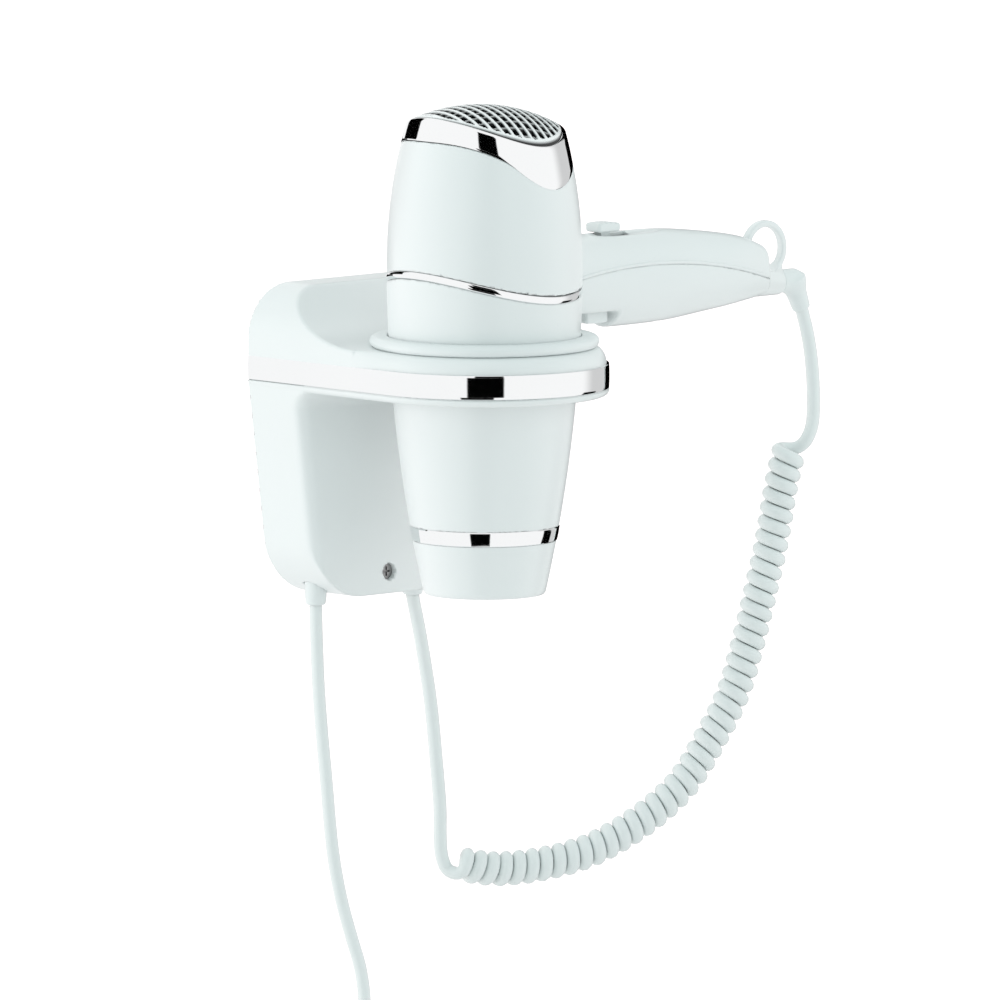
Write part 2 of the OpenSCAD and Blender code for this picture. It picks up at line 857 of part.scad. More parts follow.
module thermal_fuse() color("silver") {
    on_axis() translate([-11, -mica_t / 2 - 2, 2]) {
        cylinder(r = 2, h = 11);
        translate([0, 0, -4]) cylinder(r = 0.5, h = 19);
    }
}

// ---- handle parts ----

module slide_switch_body() color("dimgray") {
    on_axis() difference() {
        translate([stem_x - 4, -6, 36]) cube([24, 12, switch_top - 36]);
        translate([stem_x - 1, -2.3, switch_top - 2.7]) cube([stem_len + switch_travel + 2, 4.6, 5]);
    }
}

module switch_knob() color("white") {
    on_axis() {
        difference() {
            translate([knob_x, -6, knob_low]) cube([knob_len, 12, knob_top - knob_low]);
            for (i = [0:3]) translate([knob_x + 2.6 + i * 2.6, -7, knob_top - 0.6]) cube([0.8, 14, 1]);
        }
        translate([stem_x, -2, switch_top - 2.2]) cube([stem_len, 4, knob_low - switch_top + 2.2 + eps]);
    }
}

module microswitch() color("dimgray") {
    on_axis() {
        translate([button_x - 1.5, -4, micro_z]) cube([16, 8, 5.8]);
        translate([button_x + 9, 0, micro_z - plunger_h]) cylinder(r = 1.2, h = plunger_h);
    }
}

module push_button() color("white") {
    on_axis() {
        translate([button_x, -button_w / 2, button_low])
            cube([button_len, button_w, button_flange_z - button_low + eps]);
        translate([button_x - 1.5, -button_w / 2 - 1.5, button_flange_z])
            cube([button_len + 3, button_w + 3, button_flange_h]);
    }
}

module button_spring() color("silver") {
    low = button_flange_z + button_flange_h;
    turns = 4;
    wire = 0.35;
    on_axis() for (i = [0:turns - 1])
        translate([button_x + 3, 0, low + wire + i * (micro_z - low - 2 * wire) / (turns - 1)])
            rotate_extrude() translate([2.4, 0]) circle(wire, $fn = 16);
}

module circuit_board() color("seagreen") {
    on_axis() {
        translate([98, -8, 29]) cube([24, 16, 1.6]);
        for (y = [-4, 4]) translate([101, y, 33.1]) along_x(2.5, 0, 9);
        translate([113, -5, 30.6]) cube([7, 10, 7]);
    }
}

module handle_screws() color("silver") {
    on_axis() for (x = handle_screw_x) translate([x, 0, 23]) screw(2.8, 1.8, 1.3, 14);
}

module handle_cord_clamp() color("dimgray") {
    on_axis() translate([clamp_x, 0, handle_z]) difference() {
        translate([0, -4.6, -4]) cube([7, 9.2, 8]);
        translate([-1, 0, 0]) rotate([0, 90, 0]) cylinder(r = 2.8, h = 9);
    }
}

module hanging_loop() color("whitesmoke") {
    on_axis() {
        difference() {
            union() {
                translate([loop_x, 0, loop_z]) rotate([90, 0, 0]) rotate_extrude()
                    translate([loop_r, 0]) square([loop_t, loop_w], center = true);
                hull() {
                    translate([0, 0, handle_z]) along_x(collar_r, handle_end, handle_end + 0.2, $fn = hull_fn);
                    translate([0, 0, relief_z])
                        along_x(collar_tip_r, handle_end + collar_w - 0.2, handle_end + collar_w, $fn = hull_fn);
                }
            }
            handle_form(0);
            translate([0, 0, relief_z]) along_x(relief_neck_r, handle_end - 1, handle_end + collar_w + 1);
        }
    }
}

module cord_strain_relief() color("white") {
    start = handle_end + collar_w;
    bend = arc_points(relief_start, relief_z - relief_bend, relief_bend, 90, 90 - relief_turn, 6);
    middle = concat([[start, relief_z]], bend, [[relief_x, relief_tip_z]]);
    radii = concat([for (i = [0:len(bend)]) relief_r], [relief_end_r]);
    on_axis() {
        translate([0, 0, relief_z]) along_x(relief_neck_r, handle_end - 4, start + 1);
        difference() {
            sweep([for (p = middle) [p[0], 0, p[1]]], radii, 24);
            translate([relief_x, 0, relief_tip_z]) rotate([0, 90 + relief_turn, 0])
                translate([0, 0, -relief_bore]) cylinder(r = curly_d / 2 + 0.2, h = relief_bore + 1);
        }
    }
}

wall_plate();
holder_lower_shell();
holder_upper_shell();
holder_chrome_band();
collar_liner();
cover_screw();
shell_screws();
terminal_block();
terminal_screws();
cord_clamps();
mains_cord_gland();
curly_cord_gland();
mains_lead();
mains_lead_coil();
mains_lead_tail();
cord_tie();
plug_body();
plug_pins();
curly_lower_lead();
curly_coil();
curly_upper_lead();
rear_housing();
front_housing();
wave_trim();
rear_cap_ring();
rear_grille();
intake_filter();
nozzle_band();
nozzle_tip();
outlet_grille();
motor_mount();
motor_can();
motor_magnets();
motor_bearings();
motor_shaft();
motor_rotor();
impeller();
heat_shield_tube();
heater_frame();
heater_coils();
thermostat();
thermal_fuse();
slide_switch_body();
switch_knob();
microswitch();
push_button();
button_spring();
circuit_board();
handle_screws();
handle_cord_clamp();
hanging_loop();
cord_strain_relief();
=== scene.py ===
import json
import math

import bmesh
import bpy
import numpy as np
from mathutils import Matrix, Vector


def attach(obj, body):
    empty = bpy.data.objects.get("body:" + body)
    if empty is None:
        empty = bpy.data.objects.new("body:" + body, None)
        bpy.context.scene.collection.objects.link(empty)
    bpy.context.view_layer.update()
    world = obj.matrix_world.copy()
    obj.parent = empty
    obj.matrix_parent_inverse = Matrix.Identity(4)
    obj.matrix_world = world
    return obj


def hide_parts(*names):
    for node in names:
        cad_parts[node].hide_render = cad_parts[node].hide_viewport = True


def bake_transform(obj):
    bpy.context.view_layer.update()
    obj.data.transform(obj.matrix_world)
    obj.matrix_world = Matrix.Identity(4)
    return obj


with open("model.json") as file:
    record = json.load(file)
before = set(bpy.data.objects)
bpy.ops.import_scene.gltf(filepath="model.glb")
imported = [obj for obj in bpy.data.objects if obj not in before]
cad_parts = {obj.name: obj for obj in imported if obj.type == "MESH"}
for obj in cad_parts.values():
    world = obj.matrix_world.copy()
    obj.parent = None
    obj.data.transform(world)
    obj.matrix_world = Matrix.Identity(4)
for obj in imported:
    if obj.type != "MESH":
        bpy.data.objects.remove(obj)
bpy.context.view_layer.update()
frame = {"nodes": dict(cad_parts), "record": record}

# Sizes are in millimetres. The dryer's own height z runs from the middle of the holder's chrome
# band, its x and y from the dryer's upright axis; the holder uses the frame's own x, y and z.
MM = 0.001
REACH = 86.0  # from the wall to the dryer's axis
BAND_Z = 30.0  # height of the middle of the holder's chrome band
AXIS = np.array([0, -REACH, BAND_Z])  # where the dryer's own axes start
HALF_W = 50.0  # half the width of the holder's arm
BARREL_T = 2.2  # wall of the barrel and the nozzle
SLOTS = [m["slot"] for m in frame["record"]["materials"]]


# -------------------------------- meshes

def make_object(name, points, faces, normals=None, sharp=None):
    """A smooth mesh piece from points in millimetres."""
    mesh = bpy.data.meshes.new(name)
    points = np.asarray(points, float) * MM
    mesh.from_pydata(points.tolist(), [], [tuple(int(i) for i in f) for f in faces])
    if normals is None:
        turned_out = bmesh.new()
        turned_out.from_mesh(mesh)
        bmesh.ops.recalc_face_normals(turned_out, faces=turned_out.faces)
        turned_out.to_mesh(mesh)
        turned_out.free()
    mesh.polygons.foreach_set("use_smooth", [True] * len(mesh.polygons))
    if sharp:
        mesh.set_sharp_from_angle(angle=math.radians(sharp))
    if normals is not None:
        mesh.normals_split_custom_set_from_vertices(np.asarray(normals, float).tolist())
    mesh.update()
    obj = bpy.data.objects.new(name, mesh)
    bpy.context.scene.collection.objects.link(obj)
    return obj


def ease(t):
    """0 to 1 with a smooth start and end."""
    return t * t * (3 - 2 * t)


def smooth_route(points, steps):
    """A smooth curve through the points, the same as the CAD's."""
    p = [np.array(q, float) for q in points]
    out = []
    for i in range(len(p) - 1):
        a, b, c, d = p[max(i - 1, 0)], p[i], p[i + 1], p[min(i + 2, len(p) - 1)]
        for k in range(steps):
            t = k / steps
            out.append(0.5 * (2 * b + (c - a) * t + (2 * a - 5 * b + 4 * c - d) * t * t
                              + (3 * b - a - 3 * c + d) * t ** 3))
    return np.array(out + [p[-1]])


def even_steps(path, step):
    """The same path with its points a step apart."""
    path = np.asarray(path, float)
    run = np.concatenate([[0], np.cumsum(np.linalg.norm(np.diff(path, axis=0), axis=1))])
    at = np.linspace(0, run[-1], max(2, int(round(run[-1] / step)) + 1))
    return np.stack([np.interp(at, run, path[:, k]) for k in range(3)], 1)


def frames_along(path):
    """Directions across a path that don't twist."""
    t = np.gradient(path, axis=0)
    t /= np.linalg.norm(t, axis=1)[:, None]
    side = np.cross(t[0], [0.3, 1.0, 0.2])
    n = [side / np.linalg.norm(side)]
    for i in range(1, len(path)):
        v = n[-1] - t[i] * np.dot(n[-1], t[i])
        n.append(v / np.linalg.norm(v))
    n = np.array(n)
    return n, np.cross(t, n)


def tube(name, path, radius, sides):
    """A closed tube along a path, with one radius or one for each point."""
    path = np.asarray(path, float)
    n, b = frames_along(path)
    r = np.broadcast_to(np.asarray(radius, float), (len(path),))
    a = 2 * np.pi * np.arange(sides) / sides
    rings = path[:, None] + r[:, None, None] * (
        np.cos(a)[None, :, None] * n[:, None] + np.sin(a)[None, :, None] * b[:, None])
    faces = net_faces(len(path), sides, True) + end_caps(len(path), sides)
    return make_object(name, rings.reshape(-1, 3), faces, sharp=60)


def end_caps(rows, columns):
    """Faces that close the first and the last row of a net."""
    return [tuple(range(columns - 1, -1, -1)),
            tuple((rows - 1) * columns + k for k in range(columns))]


def net_faces(rows, columns, wrap, close_rows=False):
    """Quads over a grid of points, whose columns and rows may join up."""
    faces = []
    for i in range(rows if close_rows else rows - 1):
        for k in range(columns if wrap else columns - 1):
            a, b = i * columns + k, i * columns + (k + 1) % columns
            up = ((i + 1) % rows) * columns - i * columns
            faces.append((a, b, b + up, a + up))
    return faces


def lathe(name, profile, centre, steps=128, sharp=40):
    """A closed [radius, height] outline turned round an upright axis."""
    profile = np.asarray(profile, float)
    a = 2 * np.pi * np.arange(steps) / steps
    points = np.stack([
        centre[0] + profile[None, :, 0] * np.cos(a)[:, None],
        centre[1] + profile[None, :, 0] * np.sin(a)[:, None],
        centre[2] + np.broadcast_to(profile[None, :, 1], (steps, len(profile)))], 2)
    faces = net_faces(steps, len(profile), True, True)
    return make_object(name, points.reshape(-1, 3), faces, sharp=sharp)


def arc(cx, cy, r, start, end, steps):
    a = np.radians(np.linspace(start, end, steps + 1))
    return [[cx + r * math.cos(t), cy + r * math.sin(t)] for t in a]


def ribbon(name, low, high, out, thick, crown, lip):
    """A curved metal strip between two edges, with a crowned face and rounded lips.
    low and high are edge points, out the outward directions; open strips get closed ends."""
    low, high, out = (np.asarray(v, float) for v in (low, high, out))
    across = high - low
    width = np.linalg.norm(across, axis=1)[:, None]
    across = across / width
    points = []
    for s in np.linspace(0, 1, 9):
        rise = crown * (1 - (2 * s - 1) ** 2)
        points.append(low + across * (lip + (width - 2 * lip) * s) + out * rise)
    bevel = 0.3 * lip
    points += [high - across * bevel - out * bevel, high - out * lip, high - out * thick,
               low - out * thick, low - out * lip, low + across * bevel - out * bevel]
    grid = np.stack(points, 1)
    rows, columns = grid.shape[:2]
    closed = np.linalg.norm(low[0] - low[-1]) < 1e-6
    if closed:
        grid = grid[:-1]
        rows -= 1
    faces = net_faces(rows, columns, True, closed)
    if not closed:
        faces += end_caps(rows, columns)
    return make_object(name, grid.reshape(-1, 3), faces, sharp=50)


# -------------------------------- solids from distance fields

def rmax(a, b, r):
    """Where two solids overlap, with the edge between them rounded."""
    return np.minimum(np.maximum(a, b), -r) + np.hypot(np.maximum(a + r, 0), np.maximum(b + r, 0))


def rmin(a, b, r):
    """Two solids together, with a fillet between them."""
    return -rmax(-a, -b, r)


def every(*fields):
    """Where all the solids overlap, with sharp edges."""
    out = fields[0]
    for f in fields[1:]:
        out = np.maximum(out, f)
    return out


def slope(field, p, h=0.3):
    """How a field changes at each point, measured over a distance h each way."""
    g = np.empty_like(p)
    for k in range(3):
        d = np.zeros(3)
        d[k] = h
        g[:, k] = (field(*(p + d).T) - field(*(p - d).T)) / (2 * h)
    return g


def solid(name, field, low, high, cell):
    """The closed surface where a field is zero, as quads with the field's own normals."""
    low, high = np.array(low, float), np.array(high, float)
    axes = [np.arange(low[k], high[k] + cell, cell) for k in range(3)]
    values = np.concatenate([
        field(*np.meshgrid(part, axes[1], axes[2], indexing="ij"))
        for part in np.array_split(axes[0], 8)])
    inside = values < 0
    n = np.array(inside.shape) - 1
    corners = [(i, j, k) for i in (0, 1) for j in (0, 1) for k in (0, 1)]
    count = sum(inside[i:i + n[0], j:j + n[1], k:k + n[2]].astype(np.int8) for i, j, k in corners)
    mixed = (count > 0) & (count < 8)
    cells = np.argwhere(mixed)
    index = np.full(mixed.shape, -1)
    index[mixed] = np.arange(len(cells))
    # one point for each cell that the surface goes through, in the middle of its crossings
    total, hits = np.zeros((len(cells), 3)), np.zeros(len(cells))
    for a in corners:
        for k in range(3):
            if a[k]:
                continue
            b = list(a)
            b[k] = 1
            fa = values[tuple((cells + a).T)]
            fb = values[tuple((cells + b).T)]
            cross = (fa < 0) != (fb < 0)
            t = fa[cross] / (fa[cross] - fb[cross])
            p = np.tile(np.array(a, float), (len(t), 1))
            p[:, k] = t
            total[cross] += p
            hits[cross] += 1
    p = low + cell * (cells + total / hits[:, None])
    # two short steps bring it on to the surface
    for _ in range(2):
        g = slope(field, p, 0.05)
        step = (field(*p.T) / np.maximum((g * g).sum(1), 0.05))[:, None] * g
        p -= np.clip(step, -0.35 * cell, 0.35 * cell)
    g = slope(field, p)
    normals = g / np.maximum(np.linalg.norm(g, axis=1), 1e-9)[:, None]
    # a quad round each grid edge that the surface crosses
    faces = []
    for k in range(3):
        u, v = (k + 1) % 3, (k + 2) % 3
        a = [slice(1, -1)] * 3
        b = [slice(1, -1)] * 3
        a[k], b[k] = slice(0, -1), slice(1, None)
        first, second = inside[tuple(a)], inside[tuple(b)]
        for flip, where in ((False, first & ~second), (True, ~first & second)):
            at = np.argwhere(where)
            at[:, u] += 1
            at[:, v] += 1
            quad = []
            for du, dv in ((-1, -1), (0, -1), (0, 0), (-1, 0)):
                q = at.copy()
                q[:, u] += du
                q[:, v] += dv
                quad.append(index[tuple(q.T)])
            quad = np.stack(quad, 1)
            faces.append(quad[:, ::-1] if flip else quad)
    return make_object(name, p, np.concatenate(faces), normals=normals)


# -------------------------------- materials

def node_of(tree, kind, **inputs):
    node = tree.nodes.new(kind)
    for key, value in inputs.items():
        node.inputs[key].default_value = value
    return node


def finish(name, colour, rough, metal=0.0, vary=0.03, rough_vary=0.06, grain=900.0, bump=0.02,
           patch=14.0, streak=None):
    """A moulded or plated finish: slow colour change, fine roughness change and a fine grain.
    patch and grain are the scales of the slow and the fine noise; streak stretches both."""
    mat = bpy.data.materials.new(name)
    mat.use_nodes = True
    tree = mat.node_tree
    shader = tree.nodes["Principled BSDF"]
    link = tree.links.new
    place = tree.nodes.new("ShaderNodeTexCoord")
    source = place.outputs["Object"]
    if streak:
        stretch = node_of(tree, "ShaderNodeMapping", Scale=streak)
        link(source, stretch.inputs["Vector"])
        source = stretch.outputs["Vector"]
    slow = node_of(tree, "ShaderNodeTexNoise", Scale=patch, Detail=3.0, Roughness=0.5)
    fine = node_of(tree, "ShaderNodeTexNoise", Scale=grain, Detail=4.0, Roughness=0.6)
    link(source, slow.inputs["Vector"])
    link(source, fine.inputs["Vector"])
    ramp = tree.nodes.new("ShaderNodeValToRGB")
    dark = [c * (1 - vary) for c in colour]
    for stop, position, shade in zip(ramp.color_ramp.elements, (0.3, 0.7), (dark, colour)):
        stop.position = position
        stop.color = (*shade, 1)
    link(slow.outputs["Fac"], ramp.inputs["Fac"])
    link(ramp.outputs["Color"], shader.inputs["Base Color"])
    spread = node_of(tree, "ShaderNodeMapRange", **{
        "To Min": max(rough - rough_vary, 0.02), "To Max": rough + rough_vary})
    link(fine.outputs["Fac"], spread.inputs["Value"])
    link(spread.outputs["Result"], shader.inputs["Roughness"])
    relief = node_of(tree, "ShaderNodeBump", Strength=bump, Distance=0.0004)
    link(fine.outputs["Fac"], relief.inputs["Height"])
    link(relief.outputs["Normal"], shader.inputs["Normal"])
    shader.inputs["Metallic"].default_value = metal
    return mat


MATERIALS = {
    "white_plastic": finish("white_gloss_plastic", (0.82, 0.85, 0.848), 0.3, bump=0.03,
                            vary=0.02),
    "soft_white": finish("white_soft_plastic", (0.80, 0.84, 0.838), 0.42, bump=0.05),
    "grey_plastic": finish("pale_grey_plastic", (0.62, 0.64, 0.65), 0.4, bump=0.05, vary=0.05),
    "dark_plastic": finish("dark_plastic", (0.035, 0.037, 0.04), 0.42, bump=0.08, vary=0.2),
    "chrome": finish("bright_chrome", (0.93, 0.94, 0.945), 0.05, metal=1.0, vary=0.02,
                     rough_vary=0.02, bump=0.004),
    "steel": finish("dark_steel", (0.3, 0.3, 0.3), 0.36, metal=1.0, vary=0.08, bump=0.04,
                    streak=(1.0, 1.0, 0.15)),
    "brass": finish("brass", (0.76, 0.58, 0.27), 0.28, metal=1.0, vary=0.1, bump=0.04),
    "copper": finish("copper_winding", (0.72, 0.36, 0.2), 0.35, metal=1.0, vary=0.15, bump=0.15,
                     streak=(1.0, 1.0, 6.0)),
    "heater_wire": finish("heater_wire", (0.42, 0.4, 0.38), 0.45, metal=1.0, vary=0.2,
                          bump=0.1),
    "mica": finish("mica_board", (0.62, 0.52, 0.38), 0.55, vary=0.25, bump=0.12, patch=90.0,
                   streak=(1.0, 1.0, 0.3)),
    "cord": finish("white_cord_jacket", (0.80, 0.84, 0.835), 0.36, bump=0.05),
    "tie": finish("tie_strap", (0.05, 0.05, 0.055), 0.5, bump=0.2, vary=0.2),
    # the grille's finish also gets painted black shade inside its slots, further down
    "grille": finish("intake_grille_plastic_with_painted_slot_shade", (0.95, 0.96, 0.96), 0.18, bump=0.06, vary=0.04),
    "board": finish("circuit_board", (0.03, 0.2, 0.08), 0.4, vary=0.3, bump=0.08, patch=160.0),
}
for slot in SLOTS:
    if slot not in MATERIALS:
        raise ValueError("no material for slot " + slot)

# The intake dome is part of a ring-shaped tube that lies upright: the x and z of the ring's
# middle, the ring's radius and the tube's.
DOME_X, DOME_Z, DOME_SPINE, DOME_TUBE = -5.0, 26.0, 38.0, 45.0
# painted shade in the grille's slots: the depth under the dome where it starts and where it is
# full, and its black colour
UNSHADED_DEPTH, FULL_SHADE_DEPTH = 0.12, 0.8
PAINTED_SLOT_SHADE = (0.008, 0.009, 0.01, 1)


def paint_shade_inside_dome(mat):
    """Paints shade into the grille's colour: its own colour on the dome's face and painted black
    shade inside its slots, by the depth under the dome.
    """
    tree = mat.node_tree
    link = tree.links.new

    def maths(kind, operation, source, value=None):
        node = tree.nodes.new(kind)
        node.operation = operation
        link(source, node.inputs[0])
        if value is not None:
            node.inputs[1].default_value = value
        return node.outputs

    def beyond(vector, low):
        """How much longer than low a vector is."""
        length = maths("ShaderNodeVectorMath", "LENGTH", vector)["Value"]
        return maths("ShaderNodeMath", "SUBTRACT", length, low)[0]

    source = tree.nodes.new("ShaderNodeTexCoord").outputs["Object"]
    middle = (DOME_X * MM, -REACH * MM, (DOME_Z + BAND_Z) * MM)
    shift = maths("ShaderNodeVectorMath", "SUBTRACT", source, middle)["Vector"]
    upright = maths("ShaderNodeVectorMath", "MULTIPLY", shift, (1.0, 0.0, 1.0))["Vector"]
    split = tree.nodes.new("ShaderNodeSeparateXYZ")
    link(shift, split.inputs["Vector"])
    across = tree.nodes.new("ShaderNodeCombineXYZ")
    link(beyond(upright, DOME_SPINE * MM), across.inputs["X"])
    link(split.outputs["Y"], across.inputs["Y"])
    # painted shade: full black at the deeper depth, none above the shallower one
    depth = node_of(tree, "ShaderNodeMapRange", **{
        "From Min": -FULL_SHADE_DEPTH * MM, "From Max": -UNSHADED_DEPTH * MM})
    link(beyond(across.outputs["Vector"], DOME_TUBE * MM), depth.inputs["Value"])
    mix = tree.nodes.new("ShaderNodeMix")
    mix.data_type = "RGBA"
    shader = tree.nodes["Principled BSDF"]
    link(depth.outputs["Result"], mix.inputs["Factor"])
    # inputs 6 and 7 and output 2 are the mix node's colours
    mix.inputs[6].default_value = PAINTED_SLOT_SHADE
    link(shader.inputs["Base Color"].links[0].from_socket, mix.inputs[7])
    link(mix.outputs[2], shader.inputs["Base Color"])


# the grille's slot walls get painted black shade by their depth
paint_shade_inside_dome(MATERIALS["grille"])

for node_object in frame["nodes"].values():
    for place in node_object.material_slots:
        base = place.material.name.split(".")[0] if place.material else ""
        if base in MATERIALS:
            place.material = MATERIALS[base]


def settle(obj, body, slot, *nodes):
    """Gives a piece its finish, its body and the CAD nodes it stands for."""
    obj.data.materials.clear()
    obj.data.materials.append(MATERIALS[slot])
    if body:
        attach(obj, body)
    if nodes:
        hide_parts(*nodes)
    return obj


# -------------------------------- camera, light and floor

scene = bpy.context.scene
scene.view_settings.view_transform = "Standard"

# Camera and light distances are in metres. A long lens far away gives the photo's flat view.
TARGET = Vector((0.00453, -0.0902, -0.0204))
VIEW_AZIMUTH, VIEW_HEIGHT = math.radians(-43.0), math.radians(6.5)
CAMERA_DISTANCE, CAMERA_LENS = 10.0, 900.0
toward_camera = Vector((math.sin(VIEW_AZIMUTH) * math.cos(VIEW_HEIGHT),
                        -math.cos(VIEW_AZIMUTH) * math.cos(VIEW_HEIGHT), math.sin(VIEW_HEIGHT)))
camera_data = bpy.data.cameras.new("camera")
camera_data.lens = CAMERA_LENS
camera_data.sensor_width = 36.0
camera_data.clip_end = 50.0
camera = bpy.data.objects.new("camera", camera_data)
camera.location = TARGET + CAMERA_DISTANCE * toward_camera
camera.rotation_euler = toward_camera.to_track_quat("Z", "Y").to_euler()
scene.collection.objects.link(camera)
scene.camera = camera


def area_light(name, direction, distance, size, power):
    """A soft square light that faces the object."""
    data = bpy.data.lights.new(name, "AREA")
    data.shape = "SQUARE"
    data.size = size
    data.energy = power
    obj = bpy.data.objects.new(name, data)
    direction = Vector(direction).normalized()
    obj.location = TARGET + distance * direction
    obj.rotation_euler = direction.to_track_quat("Z", "Y").to_euler()
    obj.visible_glossy = False
    scene.collection.objects.link(obj)


area_light("light_left", (-0.9, 0.45, 0.1), 1.6, 1.0, 5.0)
area_light("light_right", (0.6, -0.75, 0.35), 1.6, 1.0, 2.6)

world = bpy.data.worlds.new("studio")
scene.world = world
world.use_nodes = True
sky = world.node_tree
sky.nodes.clear()
wire = sky.links.new


def sky_math(kind, a, b=None):
    """A maths node fed by sockets or plain numbers."""
    node = sky.nodes.new("ShaderNodeMath")
    node.operation = kind
    for k, value in enumerate((a, b)):
        if value is None:
            continue
        if isinstance(value, (int, float)):
            node.inputs[k].default_value = value
        else:
            wire(value, node.inputs[k])
    return node.outputs[0]


def sky_step(value, start, end):
    """0 before start, 1 after end, smooth between."""
    node = node_of(sky, "ShaderNodeMapRange", **{"From Min": start, "From Max": end})
    node.interpolation_type = "SMOOTHSTEP"
    wire(value, node.inputs["Value"])
    return node.outputs["Result"]


direction = sky.nodes.new("ShaderNodeTexCoord")
turned = sky.nodes.new("ShaderNodeVectorRotate")
turned.rotation_type = "Z_AXIS"
turned.inputs["Angle"].default_value = math.pi / 2 - VIEW_AZIMUTH
wire(direction.outputs["Generated"], turned.inputs["Vector"])
parts = sky.nodes.new("ShaderNodeSeparateXYZ")
wire(turned.outputs["Vector"], parts.inputs["Vector"])
ahead, beside, upward = parts.outputs

# degrees round from the camera's direction
bearing = sky_math("MULTIPLY", sky_math("ARCTAN2", beside, ahead), 180 / math.pi)
# Dark cards of a studio, seen only in reflections: [from, to] bearings round from the camera and
# the [lowest, highest] slope of the directions each one covers.
DARK_CARDS = [(-9, 18, 0.15, 0.56), (-16, 18, -0.3, 0.15), (-23, 9, -0.56, -0.3),
              (-150, -112, -0.04, 0.56), (-166, -136, -0.2, -0.04), (107, 129, -0.56, -0.22),
              (146, 181, -0.56, 0.56)]
CARD_EDGE, CARD_SLOPE_EDGE = 0.8, 0.01
# A grey stretch behind them with wide soft edges.
GREY_FROM, GREY_TO, GREY_EDGE, GREY_DEPTH = 112, 150, 10.0, 0.35


def between(value, start, end, edge):
    """1 from start to end with soft edges, 0 outside."""
    return sky_math("MULTIPLY", sky_step(value, start - edge, start + edge),
                    sky_math("SUBTRACT", 1.0, sky_step(value, end - edge, end + edge)))


cards = sky_math("MULTIPLY", between(bearing, GREY_FROM, GREY_TO, GREY_EDGE), GREY_DEPTH)
for start, end, lowest, highest in DARK_CARDS:
    card = sky_math("MULTIPLY", between(bearing, start, end, CARD_EDGE),
                    between(upward, lowest, highest, CARD_SLOPE_EDGE))
    cards = sky_math("MAXIMUM", cards, card)
mirror_light = sky_math("SUBTRACT", 1.0, cards)


SOFT_LEVEL = 1.09


def soft_light(*shares):
    """Light that changes slowly with direction, by a share for each of its axes."""
    total = SOFT_LEVEL
    for axis, share in zip((ahead, beside, upward), shares):
        total = sky_math("ADD", total, sky_math("MULTIPLY", axis, share))
    return total


rays = sky.nodes.new("ShaderNodeLightPath")
is_glossy, is_camera = rays.outputs["Is Glossy Ray"], rays.outputs["Is Camera Ray"]


def brightness(soft):
    """White to the camera, the cards in reflections, soft light otherwise."""
    seen = sky_math("ADD", sky_math("MULTIPLY", is_glossy, mirror_light),
                    sky_math("MULTIPLY", sky_math("SUBTRACT", 1.0, is_glossy), soft))
    return sky_math("MAXIMUM", is_camera, seen)


# A little darker and cooler from the camera's side and from above: red, then green and blue.
warm = brightness(soft_light(-0.36, -0.08, -0.24))
cool = brightness(soft_light(-0.28, -0.066, -0.16))
tint = sky.nodes.new("ShaderNodeCombineXYZ")
wire(warm, tint.inputs["X"])
wire(cool, tint.inputs["Y"])
wire(cool, tint.inputs["Z"])
background = sky.nodes.new("ShaderNodeBackground")
wire(tint.outputs["Vector"], background.inputs["Color"])
output = sky.nodes.new("ShaderNodeOutputWorld")
wire(background.outputs[0], output.inputs["Surface"])

FLOOR_Z, FLOOR_R, FLOOR_SIDES = -1.2, 1.6, 96
disc = [[FLOOR_R * math.cos(a) / MM, FLOOR_R * math.sin(a) / MM, FLOOR_Z / MM]
        for a in np.linspace(0, 2 * math.pi, FLOOR_SIDES, endpoint=False)]
floor = make_object("floor", disc, [tuple(range(FLOOR_SIDES))])
floor.data.materials.append(finish("pale_floor", (0.82, 0.82, 0.82), 0.6, patch=3.0, grain=60.0))


# -------------------------------- cords

CORD_X, CORD_DEPTH = 26.5, 15.0
CURLY_D, CURLY_TURN_R = 5.5, 4.5
MAINS_D = 5.2
# The strain relief: its height, the start and radius of its bend, and the cone at its end.
RELIEF_Z, RELIEF_START, RELIEF_BEND, RELIEF_CONE = 26.0, 164.5, 6.5, 10.0
RELIEF_TURN = math.radians(60)
relief_x = (RELIEF_START + RELIEF_BEND * math.sin(RELIEF_TURN)
            + RELIEF_CONE * math.cos(RELIEF_TURN))
relief_tip_z = (RELIEF_Z - RELIEF_BEND * (1 - math.cos(RELIEF_TURN))
                - RELIEF_CONE * math.sin(RELIEF_TURN))
plane_run = np.array([relief_x - CORD_X, REACH - CORD_DEPTH])
plane_dir = plane_run / np.linalg.norm(plane_run)


def in_plane(p):
    """A [distance, height] point in the upright plane that the curly cord hangs in."""
    return [CORD_X + plane_dir[0] * p[0], -CORD_DEPTH - plane_dir[1] * p[0], p[1] + BAND_Z]


def from_depth(p):
    """A point given by its x, its depth from the wall and its height."""
    return [p[0], -p[1], p[2] + BAND_Z]


LOWER_ROUTE = [[0, -88.5], [0, -92.5], [0, -97], [3.5, -115], [7.5, -140], [10, -165],
               [11.5, -183], [11.6, -195], [12.2, -203], [14.6, -209], [19.2, -211.5]]
COIL_ROUTE = [[19.5, -207], [36, -209.5], [56, -208], [76, -203], [97, -192], [114, -178],
              [126, -160], [136, -141], [143, -118], [148.5, -96], [152, -81], [156.5, -56],
              [160, -42]]
UPPER_ROUTE = [[173.1, 86, 17.5], [175.1, 86, 14.1], [176.4, 86.3, 9.5], [177.7, 86.8, 4],
               [179.1, 87.4, -5], [179.8, 87.8, -14], [180.3, 87.8, -23.5], [180.2, 87.4, -32],
               [178.6, 86.8, -37.5], [174.9, 85.9, -41.3]]
COIL_TURNS = 43
# points left out of each lead and each end of the coil where a curve joins them
JOIN_LEAD, JOIN_COIL = 14, 6


